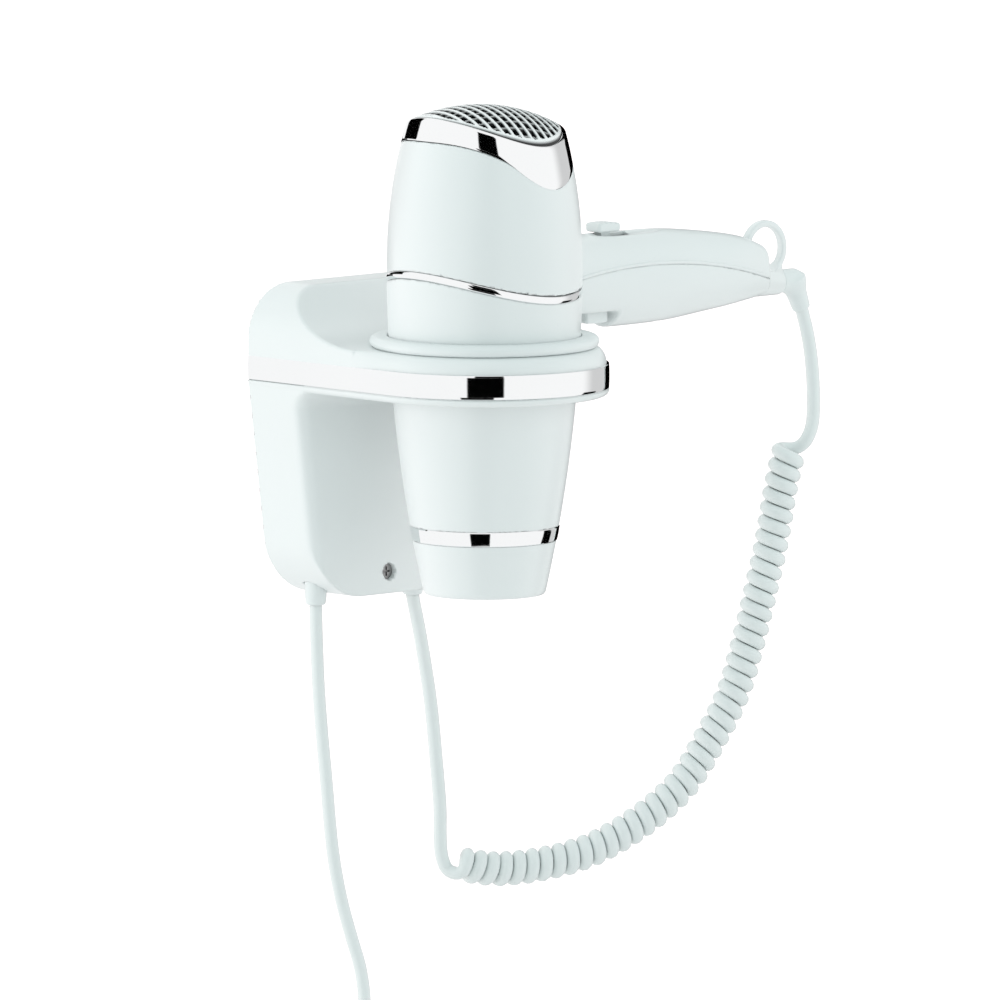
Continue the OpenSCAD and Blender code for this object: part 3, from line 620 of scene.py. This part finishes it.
def joining_curve(before, after):
    """A smooth curve from the end of one path to the start of another."""
    a, b = before[-1], after[0]
    reach = 1.25 * np.linalg.norm(b - a)
    ta, tb = (d / np.linalg.norm(d) * reach for d in (a - before[-3], after[2] - b))
    t = np.linspace(0, 1, 16)[1:-1, None]
    return ((2 * t ** 3 - 3 * t ** 2 + 1) * a + (t ** 3 - 2 * t ** 2 + t) * ta
            + (3 * t ** 2 - 2 * t ** 3) * b + (t ** 3 - t ** 2) * tb)


def curly_path():
    """Lower lead, helix and upper lead as one path."""
    lower = smooth_route([in_plane(p) for p in LOWER_ROUTE], 6)
    upper = smooth_route([from_depth(p) for p in UPPER_ROUTE], 6)[::-1]
    centre = even_steps(smooth_route([in_plane(p) for p in COIL_ROUTE], 24), 0.2)
    t = np.gradient(centre, axis=0)
    t /= np.linalg.norm(t, axis=1)[:, None]
    run = np.linspace(0, 1, len(centre))
    phi = math.pi - 2 * math.pi * COIL_TURNS * run
    # e1 turns from up at the bottom to the left at the top, e2 points to the camera
    e1 = np.stack([-t[:, 2] * plane_dir[0], t[:, 2] * plane_dir[1],
                   np.hypot(t[:, 0], t[:, 1])], 1)
    e2 = np.array([-plane_dir[1], -plane_dir[0], 0.0])
    helix = centre + CURLY_TURN_R * (np.cos(phi)[:, None] * e1 + np.sin(phi)[:, None] * e2[None])
    lower, upper = even_steps(lower, 0.5), even_steps(upper, 0.5)
    lower, helix, upper = lower[:-JOIN_LEAD], helix[JOIN_COIL:-JOIN_COIL], upper[JOIN_LEAD:]
    return np.concatenate([lower, joining_curve(lower, helix), helix,
                           joining_curve(helix, upper), upper])


curly_line = even_steps(curly_path(), 1.35)
curly = tube("curly_cable", curly_line, CURLY_D / 2, 12)
curly.data.materials.append(MATERIALS["cord"])
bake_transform(curly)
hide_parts("curly_lower_lead", "curly_coil", "curly_upper_lead")

MAINS_ROUTE = [[-26.5, 15, -88.5], [-26.5, 15, -97], [-26, 15, -112], [-25, 15, -130],
               [-23.5, 15, -146], [-21, 15, -167], [-17.5, 15, -196], [-13, 15, -216],
               [-7.5, 15, -232], [-2, 15, -247], [0, 15, -262], [-3, 15, -274]]
STORED_X, STORED_Z, STORED_R = 6.0, -312.0, 31.0
INNER_R, OUTER_R = STORED_R - MAINS_D / 2, STORED_R + MAINS_D / 2
FRONT, MIDDLE, BACK = CORD_DEPTH - MAINS_D, CORD_DEPTH, CORD_DEPTH + MAINS_D
# [angle round the stored coil, radius, depth]: each turn moves over to its next place in turn
WINDING = [[119, OUTER_R, MIDDLE], [179, OUTER_R, FRONT], [449, OUTER_R, FRONT],
           [509, INNER_R, FRONT], [779, INNER_R, FRONT], [839, INNER_R, MIDDLE],
           [1139, INNER_R, MIDDLE], [1199, INNER_R, BACK], [1469, INNER_R, BACK],
           [1529, OUTER_R, BACK], [1919, OUTER_R, BACK], [1980, OUTER_R, MIDDLE]]
TAIL_DROP = 34.0


def winding_point(angle):
    """A point of the stored coil's cable, eased between the rows of WINDING."""
    keys = np.array(WINDING, float)
    k = min(max(int(np.searchsorted(keys[:, 0], angle)) - 1, 0), len(keys) - 2)
    t = min(max((angle - keys[k, 0]) / (keys[k + 1, 0] - keys[k, 0]), 0), 1)
    t = ease(t)
    r, depth = keys[k, 1:] * (1 - t) + keys[k + 1, 1:] * t
    a = math.radians(angle)
    return [STORED_X + r * math.cos(a), depth, STORED_Z + r * math.sin(a)]


wound = [winding_point(a) for a in np.arange(122, 1980.1, 6)]
tail_x = STORED_X - OUTER_R
tail = [[tail_x, 15, STORED_Z - drop] for drop in (12, 22, TAIL_DROP)]
mains_points = MAINS_ROUTE + wound + tail
mains_line = even_steps(smooth_route([from_depth(p) for p in mains_points], 4), 2.0)
mains = tube("mains_cable", mains_line, MAINS_D / 2, 14)
settle(mains, "holder", "cord", "mains_lead", "mains_lead_coil", "mains_lead_tail")

PLUG_TOP = STORED_Z - 30.0
plug_at = from_depth([tail_x, 15, PLUG_TOP])


def plug_field(x, y, z):
    """Grip and neck of the plug, with flex ribs on the neck."""
    u, v, w = x - plug_at[0], y - plug_at[1], z - plug_at[2]
    block = np.hypot(np.maximum(np.abs(u) - 9, 0), v) - 9 + 0.035 * np.abs(w + 34) ** 1.2
    block = rmax(block, np.maximum(-44 - w, w + 21), 3.0)
    ribs = 0.35 * np.cos(w * 2 * np.pi / 3.2) * (w > -19)
    neck_r = 5.6 - 2.0 * np.clip((w + 24) / 24, 0, 1) + ribs
    neck = rmax(np.hypot(u, v) - neck_r, np.maximum(w, -30 - w), 0.5)
    bore = every(np.hypot(u, v) - MAINS_D / 2 - 0.05, -3.5 - w)
    return np.maximum(rmin(block, neck, 4.0), -bore)


plug = solid("plug_grip", plug_field, np.add(plug_at, [-20, -11, -46]),
             np.add(plug_at, [20, 11, 2]), 0.7)
settle(plug, "holder", "soft_white", "plug_body")


def tie_piece():
    """A soft strap round the stored coil's cables."""
    hw, hd, corner = MAINS_D + 0.7, 1.5 * MAINS_D + 0.7, 2.0
    loop = []
    for start, u, v in ((0, 1, 1), (90, -1, 1), (180, -1, -1), (270, 1, -1)):
        loop += arc(u * (hw - corner), v * (hd - corner), corner, start, start + 90, 5)
    angle = math.radians(58)
    out = np.array([math.cos(angle), 0, math.sin(angle)])
    along = np.array([-math.sin(angle), 0, math.cos(angle)])
    centre = np.array(from_depth([STORED_X, CORD_DEPTH, STORED_Z])) + STORED_R * out
    # [place along the coil, height] round the strap's thin, crowned section
    section = ((-3.6, 0.0), (-3.8, 0.45), (-3.5, 0.9), (0, 1.05),
               (3.5, 0.9), (3.8, 0.45), (3.6, 0.0), (0, -0.05))
    rows = []
    for u, v in loop:
        m = np.array([u, v]) / math.hypot(u, v)
        ring = []
        for w, h in section:
            p = np.array([u, v]) + m * h
            ring.append(centre + out * p[0] + np.array([0, -1.0, 0]) * p[1] + along * w)
        rows.append(ring)
    points = np.array(rows).reshape(-1, 3)
    return make_object("tie_strap", points, net_faces(len(rows), len(section), True, True),
                       sharp=50)


tie = settle(tie_piece(), "holder", "tie", "cord_tie")


# -------------------------------- holder

BAND_LOW, BAND_HIGH = 25.0, 35.0
RING_LOW, RING_TOP = 22.0, 41.5
LINER_R, COLLAR_R = 42.0, 44.4
BAND_T, SHELL_T = 1.2, 2.6
HOLDER_TOP, HOLDER_BOTTOM, BOX_DEPTH = 63.0, -63.0, 30.0
PANEL_T, SCOOP_R, SCOOP_DEPTH, SCOOP_Z = 11.5, 60.0, 62.6, 101.5
# The box's sides lean in by 7.5 degrees, and its front turns out into the arm with this radius.
SIDE_COS, SIDE_SIN = 0.9914, 0.1306
COVE_R = 8.0
# The two screws that join the shells, and the cover screw's height below the frame's zero.
JOIN_X, JOIN_DEPTH = 36.0, 47.0
COVER_SCREW = 54.0
# The arm's top edge: its radius by the wall, how far that goes, and its radius at the front.
WALL_EDGE_R, WALL_EDGE_END, FRONT_EDGE_R = 50.0, 58.0, 7.79
INSET = 0.15  # of the panel's and the arm's sides behind the band's


def arm_plan(x, y):
    """Distance from the arm's outline: straight sides and a round end."""
    return np.where(y < -REACH, np.hypot(x, y + REACH), np.abs(x)) - HALF_W


def from_join_screws(x, y):
    """Distance from the axes of the two screws that join the shells."""
    return np.hypot(np.abs(x) - JOIN_X, y + JOIN_DEPTH)


def lower_shell(x, y, z):
    side = (np.abs(x) - HALF_W) * SIDE_COS - (np.minimum(z, BAND_LOW) - BAND_LOW) * SIDE_SIN
    outline = rmax(side, HOLDER_BOTTOM - z, 24.0)
    rise = np.clip(z - (RING_LOW - COVE_R), 0, COVE_R - 0.3)
    front = -BOX_DEPTH - (COVE_R - np.sqrt(COVE_R ** 2 - rise ** 2))
    block = rmax(rmax(side, front - y, 5.5), outline, 0.6)
    block = np.maximum(block, z - BAND_LOW - 0.02)
    r = np.hypot(x, y + REACH)
    plan = arm_plan(x, y)
    slab = rmax(plan, RING_LOW - z, 2.6)
    slab = np.maximum(slab, np.where(z > BAND_LOW, plan + BAND_T, -9.0))
    body = np.minimum(block, np.maximum(slab, z - BAND_Z))
    hollow_box = every(rmax(side + SHELL_T, -BOX_DEPTH + SHELL_T - y, 6.4), outline + SHELL_T)
    hollow_arm = every(plan + BAND_T + SHELL_T, RING_LOW + SHELL_T - z, COLLAR_R - r)
    recess, well = from_join_screws(x, y), np.hypot(x, z + COVER_SCREW)
    bosses = every(recess - 4, RING_LOW - z, z - BAND_Z)
    screw_boss = every(well - 6, -BOX_DEPTH + 1 - y, y + BOX_DEPTH - 7)
    body = np.maximum(body, -np.minimum(hollow_box, hollow_arm))
    body = every(np.minimum(body, np.minimum(bosses, screw_boss)), y)
    body = rmax(body, LINER_R - r, 0.4)
    body = every(body, -every(recess - 3.1, z - RING_LOW - 2.6), -(recess - 1.8))
    body = every(body, -every(well - 3.3, y + BOX_DEPTH - 4),
                 -every(well - 1.8, y + BOX_DEPTH - 11))
    exits = np.hypot(np.abs(x) - CORD_X, y + CORD_DEPTH) - 4.45
    return np.maximum(body, -every(exits, z + 43))


settle(solid("holder_lower_cover", lower_shell, [-52, -138, -65], [52, 2, 32], 1.0),
       "holder", "white_plastic", "holder_lower_shell")


def upper_shell(x, y, z):
    # the arm's top edge is crisp beside the wall and round at the front
    k = ease(np.clip((-y - WALL_EDGE_END) / (REACH - WALL_EDGE_END), 0, 1))
    edge_r = 1 / (1 / WALL_EDGE_R + (1 / FRONT_EDGE_R - 1 / WALL_EDGE_R) * k)
    plan = arm_plan(x, y)
    outline = plan + INSET + (BAND_T - INSET) * k
    rim = np.hypot(np.maximum(outline + edge_r, 0), np.maximum(z - BAND_HIGH, 0)) - edge_r
    ring = rmax(rim, z - RING_TOP, 1.0)
    panel = rmax(np.abs(x) - HALF_W + INSET, z - HOLDER_TOP, 22.0)
    scoop = SCOOP_R - np.hypot(y + SCOOP_DEPTH, z - SCOOP_Z)
    panel = rmax(panel, np.maximum(scoop, -SCOOP_DEPTH - y), 1.0)
    body = np.minimum(ring, np.maximum(panel, BAND_HIGH - z))
    r = np.hypot(x, y + REACH)
    hollow_arm = every(plan + BAND_T + SHELL_T + 3.5, z - RING_TOP + SHELL_T, COLLAR_R - r)
    hollow_panel = every(rmax(np.abs(x) - HALF_W + SHELL_T, z - HOLDER_TOP + SHELL_T, 20.0),
                         -PANEL_T + SHELL_T - y)
    recess = from_join_screws(x, y)
    bosses = every(recess - 4, z - RING_TOP + 1)
    body = np.minimum(np.maximum(body, -np.minimum(hollow_arm, hollow_panel)), bosses)
    body = every(body, y, BAND_Z + 0.05 - z, -every(recess - 1.4, z - 38))
    return rmax(body, LINER_R - r, 0.6)


settle(solid("holder_upper_cover", upper_shell, [-52, -138, 28], [52, 2, 65], 0.95),
       "holder", "white_plastic", "holder_upper_shell")


def holder_band():
    """The chrome strip round the arm: flat sides and a round end."""
    straight = np.linspace(0.4, REACH, 24)
    edge = ([[HALF_W, -y] for y in straight]
            + [[HALF_W * math.cos(a), -REACH - HALF_W * math.sin(a)]
               for a in np.linspace(0, math.pi, 97)[1:]]
            + [[-HALF_W, -y] for y in straight[-2::-1]])
    edge = np.array(edge)
    out = np.stack([edge[:, 0], np.minimum(edge[:, 1] + REACH, 0), np.zeros(len(edge))], 1)
    out[np.abs(out[:, 1]) < 1e-6, 1] = 0
    out /= np.linalg.norm(out, axis=1)[:, None]
    low, high = (np.column_stack([edge, np.full(len(edge), z)]) - 0.12 * out
                 for z in (BAND_LOW + 0.15, BAND_HIGH - 0.15))
    return ribbon("holder_trim_band", low, high, out, 1.0, 0.12, 0.2)


settle(holder_band(), "holder", "chrome", "holder_chrome_band")


def barrel_r(z):
    """The barrel's radius, widest 45 mm above the band and slimmer both ways."""
    return 39.2 - (z - 45) ** 2 / np.where(np.asarray(z) > 45, 410.0, 1188.0)


def liner_profile():
    """The collar's lining with its round lip, as [radius, height] from the band's middle."""
    foot, seat, lip = RING_LOW - BAND_Z, RING_TOP - BAND_Z, 4.6
    inner = [[float(barrel_r(z)) + 0.35, z] for z in np.linspace(foot, seat + lip, 20)]
    inner[-1][0] += 0.35
    return (inner + [[HALF_W - 4 - lip + 1.2, seat + lip]]
            + arc(HALF_W - 4 - lip / 2, seat + lip / 2, lip / 2, 80, -90, 14)
            + [[LINER_R + 0.1, seat], [LINER_R - 0.05, seat - 0.2],
               [LINER_R - 0.05, foot + 0.4], [LINER_R - 0.45, foot]])


settle(lathe("collar_lip", liner_profile(), AXIS, 160),
       "holder", "soft_white", "collar_liner")

GLAND_LOW, GLAND_R = HOLDER_BOTTOM - 3.5, 4.4


def gland(name, x, bore):
    """A cord grommet: a rounded flange under the box and its tapered stem inside."""
    profile = ([[bore, 8.0], [bore, 0.5], [bore + 0.35, 0.0], [GLAND_R - 1.3, 0.0]]
               + arc(GLAND_R - 1.1, 0.7, 0.7, -90, 0, 5)
               + [[GLAND_R - 0.1, 2.4], [GLAND_R, 3.3], [GLAND_R, 10.4], [3.2, 21.8],
                  [1.0, 22.0], [1.0, 8.0]])
    return lathe(name, profile, (x, -CORD_DEPTH, GLAND_LOW), 48)


settle(gland("mains_grommet", -CORD_X, MAINS_D / 2 + 0.3),
       "holder", "soft_white", "mains_cord_gland")
settle(gland("curly_grommet", CORD_X, CURLY_D / 2 + 0.3),
       "holder", "soft_white", "curly_cord_gland")


# -------------------------------- dryer shapes

def to_dryer(field):
    """A field in the dryer's own axes, read in the frame's axes."""
    return lambda x, y, z: field(x, y + REACH, z - BAND_Z)


def dryer_solid(name, field, low, high, cell):
    return solid(name, to_dryer(field), low + AXIS, high + AXIS, cell)


# [x, lowest, highest, width] of the handle's oval
HANDLE = np.array([[20, 15.5, 52.6, 30], [50, 14.7, 52.8, 30], [80, 14.5, 52.8, 30],
                   [100, 15.2, 51.9, 29.4], [124, 17.8, 49, 26.6], [138, 19.8, 46.4, 23.0],
                   [146, 21.0, 43.4, 19.8], [151, 21.6, 41.4, 17.8]])
HANDLE_END, BOXY_FROM = 150.0, 110.0
handle_table = smooth_route(HANDLE[:, :3], 12)
handle_width = smooth_route(HANDLE[:, [0, 3, 3]], 12)


def handle_section(x):
    """Lowest, highest and width of the handle's oval at x."""
    low = np.interp(x, handle_table[:, 0], handle_table[:, 1])
    high = np.interp(x, handle_table[:, 0], handle_table[:, 2])
    return low, high, np.interp(x, handle_width[:, 0], handle_width[:, 1])


def handle_distance(x, y, z):
    """Distance from the handle's surface, with its root and end cut off."""
    low, high, width = handle_section(x)
    a, b = (high - low) / 2, width / 2
    u, v = z - (low + high) / 2, y
    # an oval that turns boxier towards the end
    power = 2 + 1.1 * ease(np.clip((x - BOXY_FROM) / (HANDLE_END - BOXY_FROM), 0, 1))
    p, q = np.maximum(np.abs(u / a), 1e-4), np.maximum(np.abs(v / b), 1e-4)
    e = (p ** power + q ** power) ** (1 / power)
    steep = e ** (1 - power) * np.hypot(p ** (power - 1) / a, q ** (power - 1) / b)
    deepest = -0.7 * b
    d = np.maximum(np.where(e > 0.3, (e - 1) / np.maximum(steep, 1e-6), deepest), deepest)
    return rmax(rmax(d, x - HANDLE_END, 2.2), 18 - x, 1.0)


# The notch under the handle that the push button sits in.
NOTCH_X, NOTCH_Z = 63.5, 22.0


def dryer_outside(x, y, z):
    """The barrel with the handle faired into it."""
    barrel = np.hypot(x, y) - barrel_r(np.clip(z, -90, 112))
    notch = rmax(x - NOTCH_X, z - NOTCH_Z, 1.5)
    handle = rmax(handle_distance(x, y, z), -notch, 1.2)
    return rmin(barrel, handle, 2.6)


# The handle's seam is an arc: its radius, and the x and z of its highest point.
SEAM_R, SEAM_X, SEAM_TOP = 235.0, 78.0, 39.6


def seam(x, z):
    """Height above the handle's seam."""
    return np.hypot(x - SEAM_X, z - SEAM_TOP + SEAM_R) - SEAM_R


WAVE_TILT, WAVE_AXIS_Z = math.radians(3.9), -70.3
WAVE_LOW, WAVE_HIGH = 108.5, 111.5


def wave(x, y, z):
    """Distance from the axis of the tilted cylinder whose top is the wavy split."""
    w = x * math.sin(WAVE_TILT) + (z - WAVE_AXIS_Z) * math.cos(WAVE_TILT)
    return np.hypot(y, w)


def on_handle(x):
    """0 on the barrel, 1 on the handle."""
    return ease(np.clip((x - 34) / 5, 0, 1))


CAP_TILT, CAP_AXIS_Z = math.radians(12.2), 53.7
CAP_EDGE_R, CAP_EDGE_TOP = 43.2, 95.6


def under_cap(x, y, z):
    """Negative under the cap ring's lower edge."""
    w = x * math.sin(CAP_TILT) + (z - CAP_AXIS_Z) * math.cos(CAP_TILT)
    return np.where(z > 72, rmax(np.hypot(y, w) - CAP_EDGE_R, z - CAP_EDGE_TOP, 10.0), -3.0)


BUTTON_X, KNOB_X = 55.5, 65.0


def from_handle_screws(x, y):
    """Distance from the axes of the two screws that hold the handle's halves together."""
    return np.minimum(np.hypot(x - 92, y), np.hypot(x - 128, y))


def front_housing(x, y, z):
    s = dryer_outside(x, y, z)
    k = on_handle(x)
    split = (1 - k) * (wave(x, y, z) - WAVE_LOW) + k * (seam(x, z) + 0.05)
    shell = rmax(s, split, 0.35)
    shell = every(shell, -(s + BARREL_T), -60.35 - z)
    r = from_handle_screws(x, y)
    boss = every(r - 4.2, z - 27, s + 0.6)
    shell = np.minimum(shell, boss)
    shell = every(shell, -(r - 1.5), -every(r - 3, z - 23))
    hole = every(np.abs(x - BUTTON_X) - 6.35, np.abs(y) - 7.35, z - 29, 15 - z)
    return np.maximum(shell, -hole)


settle(dryer_solid("front_body", front_housing, [-42, -42, -62], [153, 42, 42], 0.95),
       "dryer", "white_plastic", "front_housing")


def rear_housing(x, y, z):
    s = dryer_outside(x, y, z)
    k = on_handle(x)
    # the shallow dish behind the knob
    dish = (np.sqrt(((x - 76) / 22) ** 2 + ((y + 3) / 6) ** 2 + ((z - 53.2) / 2.0) ** 2) - 1) * 2.0
    face = rmax(s, -dish, 0.3)
    split = (1 - k) * (WAVE_HIGH - wave(x, y, z)) - k * seam(x, z)
    shell = rmax(face, split, 0.3)
    shell = every(shell, -(s + BARREL_T), under_cap(x, y, z))
    r = from_handle_screws(x, y)
    shell = np.minimum(shell, every(r - 3, 27.05 - z, s + 0.6))
    shell = every(shell, -every(r - 1.3, z - 38))
    slot = every(np.abs(x - 69.5) - 9, np.abs(y) - 2.5, 42 - z)
    return np.maximum(shell, -slot)


settle(dryer_solid("rear_body", rear_housing, [-42, -42, 26], [153, 42, 99], 0.9),
       "dryer", "white_plastic", "rear_housing")


def solve(test, low, high):
    """Where a test changes from negative to positive."""
    for _ in range(40):
        middle = (low + high) / 2
        if test(middle) < 0:
            low = middle
        else:
            high = middle
    return (low + high) / 2


BEAD_UP, BEAD_R, BEAD_SUNK, BEAD_POINTS = 0.55, 0.72, 0.12, 120


def seam_bead(side):
    """The raised line along the handle's seam, on one side of the handle."""
    path = []
    for x in np.linspace(38, 147.5, BEAD_POINTS):
        z = SEAM_TOP - SEAM_R + math.sqrt((SEAM_R + BEAD_UP) ** 2 - (x - SEAM_X) ** 2)
        face = solve(lambda y: dryer_outside(x, side * y, z), 0.0, 20.0)
        path.append(AXIS + [x, side * (face - BEAD_SUNK), z])
    from_end = np.minimum(np.arange(BEAD_POINTS), np.arange(BEAD_POINTS)[::-1])
    ends = np.minimum(1, from_end / 4 + 0.3)
    name = "seam_bead_near" if side < 0 else "seam_bead_far"
    return tube(name, path, BEAD_R * ends, 12)


for side in (-1, 1):
    settle(seam_bead(side), "dryer", "white_plastic")


def on_barrel(angle, z, proud=0.0):
    """A point on the barrel or a little proud of it, in the dryer's own axes."""
    r = float(barrel_r(z)) + proud
    return np.array([r * math.cos(angle), r * math.sin(angle), z])


def edge_heights(test, angles, low, high):
    """Height of an edge on the barrel at each angle."""
    return [solve(lambda z: test(*on_barrel(a, z)), low, high) for a in angles]


def barrel_strip(name, angles, lows, highs, proud, thick, crown, lip):
    """A metal strip round the barrel between two rows of heights."""
    low, high = ([on_barrel(a, z, proud) + AXIS for a, z in zip(angles, heights)]
                 for heights in (lows, highs))
    out = [[math.cos(a), math.sin(a), 0.0] for a in angles]
    return ribbon(name, low, high, out, thick, crown, lip)


# the strip ends at the two sides of the handle
wave_end = math.asin(15.4 / 39.0)
angles = np.linspace(wave_end, 2 * math.pi - wave_end, 181)
wave_low = edge_heights(lambda x, y, z: float(wave(x, y, z)) - WAVE_LOW - 0.1, angles, 10, 45)
wave_high = edge_heights(lambda x, y, z: float(wave(x, y, z)) - WAVE_HIGH + 0.1, angles, 12, 48)
settle(barrel_strip("wave_strip", angles, wave_low, wave_high, 0.22, 1.7, 0.14, 0.3),
       "dryer", "chrome", "wave_trim")


def dome(x, y, z):
    """Distance outside the intake dome."""
    return np.hypot(np.hypot(x - DOME_X, z - DOME_Z) - DOME_SPINE, y) - DOME_TUBE


angles = np.linspace(0, 2 * math.pi, 241)
cap_low = edge_heights(lambda x, y, z: float(under_cap(x, y, z)), angles, 73, 104)
cap_high = edge_heights(lambda x, y, z: float(dome(x, y, z)), angles, 85, 112)
settle(barrel_strip("cap_strip", angles, [z + 0.3 for z in cap_low], cap_high,
                    0.02, 1.5, 0.12, 0.35), "dryer", "chrome", "rear_cap_ring")

GRILLE_TURN = math.radians(8)
PITCH, SLOT_W = 4.1, 2.75


def from_lines(u):
    """Distance from the nearest of the evenly spaced lines."""
    return np.abs((u + PITCH / 2) % PITCH - PITCH / 2)


def rear_grille(x, y, z):
    u = x * math.cos(GRILLE_TURN) - y * math.sin(GRILLE_TURN)
    v = x * math.sin(GRILLE_TURN) + y * math.cos(GRILLE_TURN)
    d = dome(x, y, z)
    r = np.hypot(x, y)
    shell = every(d, -(d + BARREL_T), 86 - z)
    clear = rmax(from_lines(u) - SLOT_W / 2, r - barrel_r(z) + 2.5, 0.4)
    bars = rmax(shell, -clear, 0.3)
    cross = every(from_lines(v) - 0.55, d + 0.58, -(d + 2.1), r - 31.5)
    return every(np.minimum(bars, cross), r - barrel_r(z) + 1.65)


settle(dryer_solid("intake_lattice", rear_grille, [-37, -37, 84], [37, 37, 111], 0.5),
       "dryer", "grille", "rear_grille")

BAND_TOP_Z, BAND_LOW_Z, MOUTH_Z = -60.3, -66.3, -88.0


def nozzle_band_profile():
    heights = np.linspace(BAND_LOW_Z + 0.4, BAND_TOP_Z - 0.4, 9)
    middle = (BAND_LOW_Z + BAND_TOP_Z) / 2
    face = [[float(barrel_r(z)) + 0.22 + 0.12 * (1 - ((z - middle) / 3) ** 2), z] for z in heights]
    top, low = float(barrel_r(BAND_TOP_Z)), float(barrel_r(BAND_LOW_Z))
    return ([[low - BARREL_T, BAND_LOW_Z], [low - 0.1, BAND_LOW_Z]] + face
            + [[top - 0.1, BAND_TOP_Z], [top - BARREL_T, BAND_TOP_Z]])


settle(lathe("nozzle_strip", nozzle_band_profile(), AXIS, 192, 30),
       "dryer", "chrome", "nozzle_band")


def nozzle_profile():
    heights = np.linspace(BAND_LOW_Z - 0.05, MOUTH_Z + 1.0, 16)
    outer = [[float(barrel_r(z)), z] for z in heights]
    mouth = float(barrel_r(MOUTH_Z))
    inner = [[float(barrel_r(z)) - BARREL_T, z] for z in heights[::-1]]
    return outer + arc(mouth - BARREL_T / 2 + 0.05, MOUTH_Z + 1.05, 1.05, 0, -180, 8)[1:-1] + inner


settle(lathe("nozzle_end", nozzle_profile()[::-1], AXIS, 192),
       "dryer", "white_plastic", "nozzle_tip")


def switch_knob(x, y, z):
    top = 57.0 - 0.5 * ((x - 64.2) / 6.7) ** 2
    block = rmax(np.abs(x - KNOB_X) - 6.0, np.abs(y) - 4.4, 1.2)
    block = rmax(block, np.maximum(z - top, 53.1 - z), 1.1)
    groove = np.abs((x - 60.5 + 1.3) % 2.6 - 1.3) - 0.4
    groove = every(groove, top - 0.5 - z, np.abs(x - KNOB_X) - 4.6)
    stem = every(np.abs(x - 64.5) - 2.5, np.abs(y) - 2, 43.5 - z, z - 54)
    return np.minimum(rmax(block, -groove, 0.2), stem)


settle(dryer_solid("knob_cap", switch_knob, [56, -8, 42], [73, 8, 59], 0.32),
       "knob", "soft_white", "switch_knob")


def push_button(x, y, z):
    along = x - BUTTON_X
    block = rmax(np.abs(along) - 6.0, np.abs(y) - 7.0, 1.2)
    block = rmax(block, np.maximum(17.0 + 0.25 * (along / 6) ** 2 - z, z - 24.6), 1.0)
    flange = every(np.abs(along) - 7.4, np.abs(y) - 8.4, 24.55 - z, z - 25.65)
    return np.minimum(block, flange)


settle(dryer_solid("button_cap", push_button, [46, -10, 15], [65, 10, 27], 0.34),
       "button", "soft_white", "push_button")

# The loop's middle, radius, thickness and width, and the collar under it: the x and z of its
# two ends' axis and their radii.
LOOP_X, LOOP_Z, LOOP_R, LOOP_T, LOOP_W = 154.0, 39.8, 10.2, 2.8, 3.8
COLLAR_X, COLLAR_Z, COLLAR_R1, COLLAR_R2 = 162.0, 28.6, 8.0, 5.4


def hanging_loop(x, y, z):
    """The loop above the handle's end with the tapered collar that it grows from."""
    r = np.hypot(x - LOOP_X, z - LOOP_Z)
    ring = rmax(np.abs(r - LOOP_R) - LOOP_T / 2, np.abs(y) - LOOP_W / 2, 0.9)
    along = np.clip((x - HANDLE_END) / (COLLAR_X - HANDLE_END), 0, 1)
    taper = COLLAR_R1 + (COLLAR_R2 - COLLAR_R1) * along
    axis_z = COLLAR_Z + (RELIEF_Z - COLLAR_Z) * along
    collar = rmax(np.hypot(y, z - axis_z) - taper, x - COLLAR_X, 1.2)
    body = rmin(ring, collar, 3.2)
    body = np.maximum(body, -(r - (LOOP_R - LOOP_T / 2)))
    body = np.maximum(body, -(handle_distance(x, y, z) - 0.02))
    bore = every(np.hypot(y, z - RELIEF_Z) - 3.0, 145 - x)
    return every(body, 140.5 - x, -bore)


settle(dryer_solid("hang_loop", hanging_loop, [139, -10, 18], [166, 10, 53], 0.45),
       "dryer", "white_plastic", "hanging_loop")

ELBOW_X, ELBOW_R, ELBOW_TIP_R = 170.0, 4.75, 3.7


def cord_elbow(x, y, z):
    """The cord's boot: out of the collar, round a full corner and down to a taper on the cord."""
    flat = np.hypot(np.hypot(np.maximum(x - ELBOW_X, 0), z - RELIEF_Z), y) - ELBOW_R
    flat = rmax(flat, COLLAR_X + 0.1 - x, 0.5)
    run_x, run_z = relief_x - ELBOW_X, relief_tip_z - RELIEF_Z
    length = math.hypot(run_x, run_z)
    along = ((x - ELBOW_X) * run_x + (z - RELIEF_Z) * run_z) / length
    off = np.hypot(((x - ELBOW_X) * run_z - (z - RELIEF_Z) * run_x) / length, y)
    taper = ELBOW_R + (ELBOW_TIP_R - ELBOW_R) * np.clip(along / length, 0, 1)
    leg = rmax(off - taper, along - length, 0.5)
    leg = every(leg, -along)
    neck = every(np.hypot(z - RELIEF_Z, y) - 2.9, 147 - x, x - ELBOW_X)
    return np.minimum(rmin(flat, leg, 3.0), neck)


settle(dryer_solid("cord_elbow", cord_elbow, [146, -6, 12], [182, 6, 33], 0.42),
       "dryer", "soft_white", "cord_strain_relief")
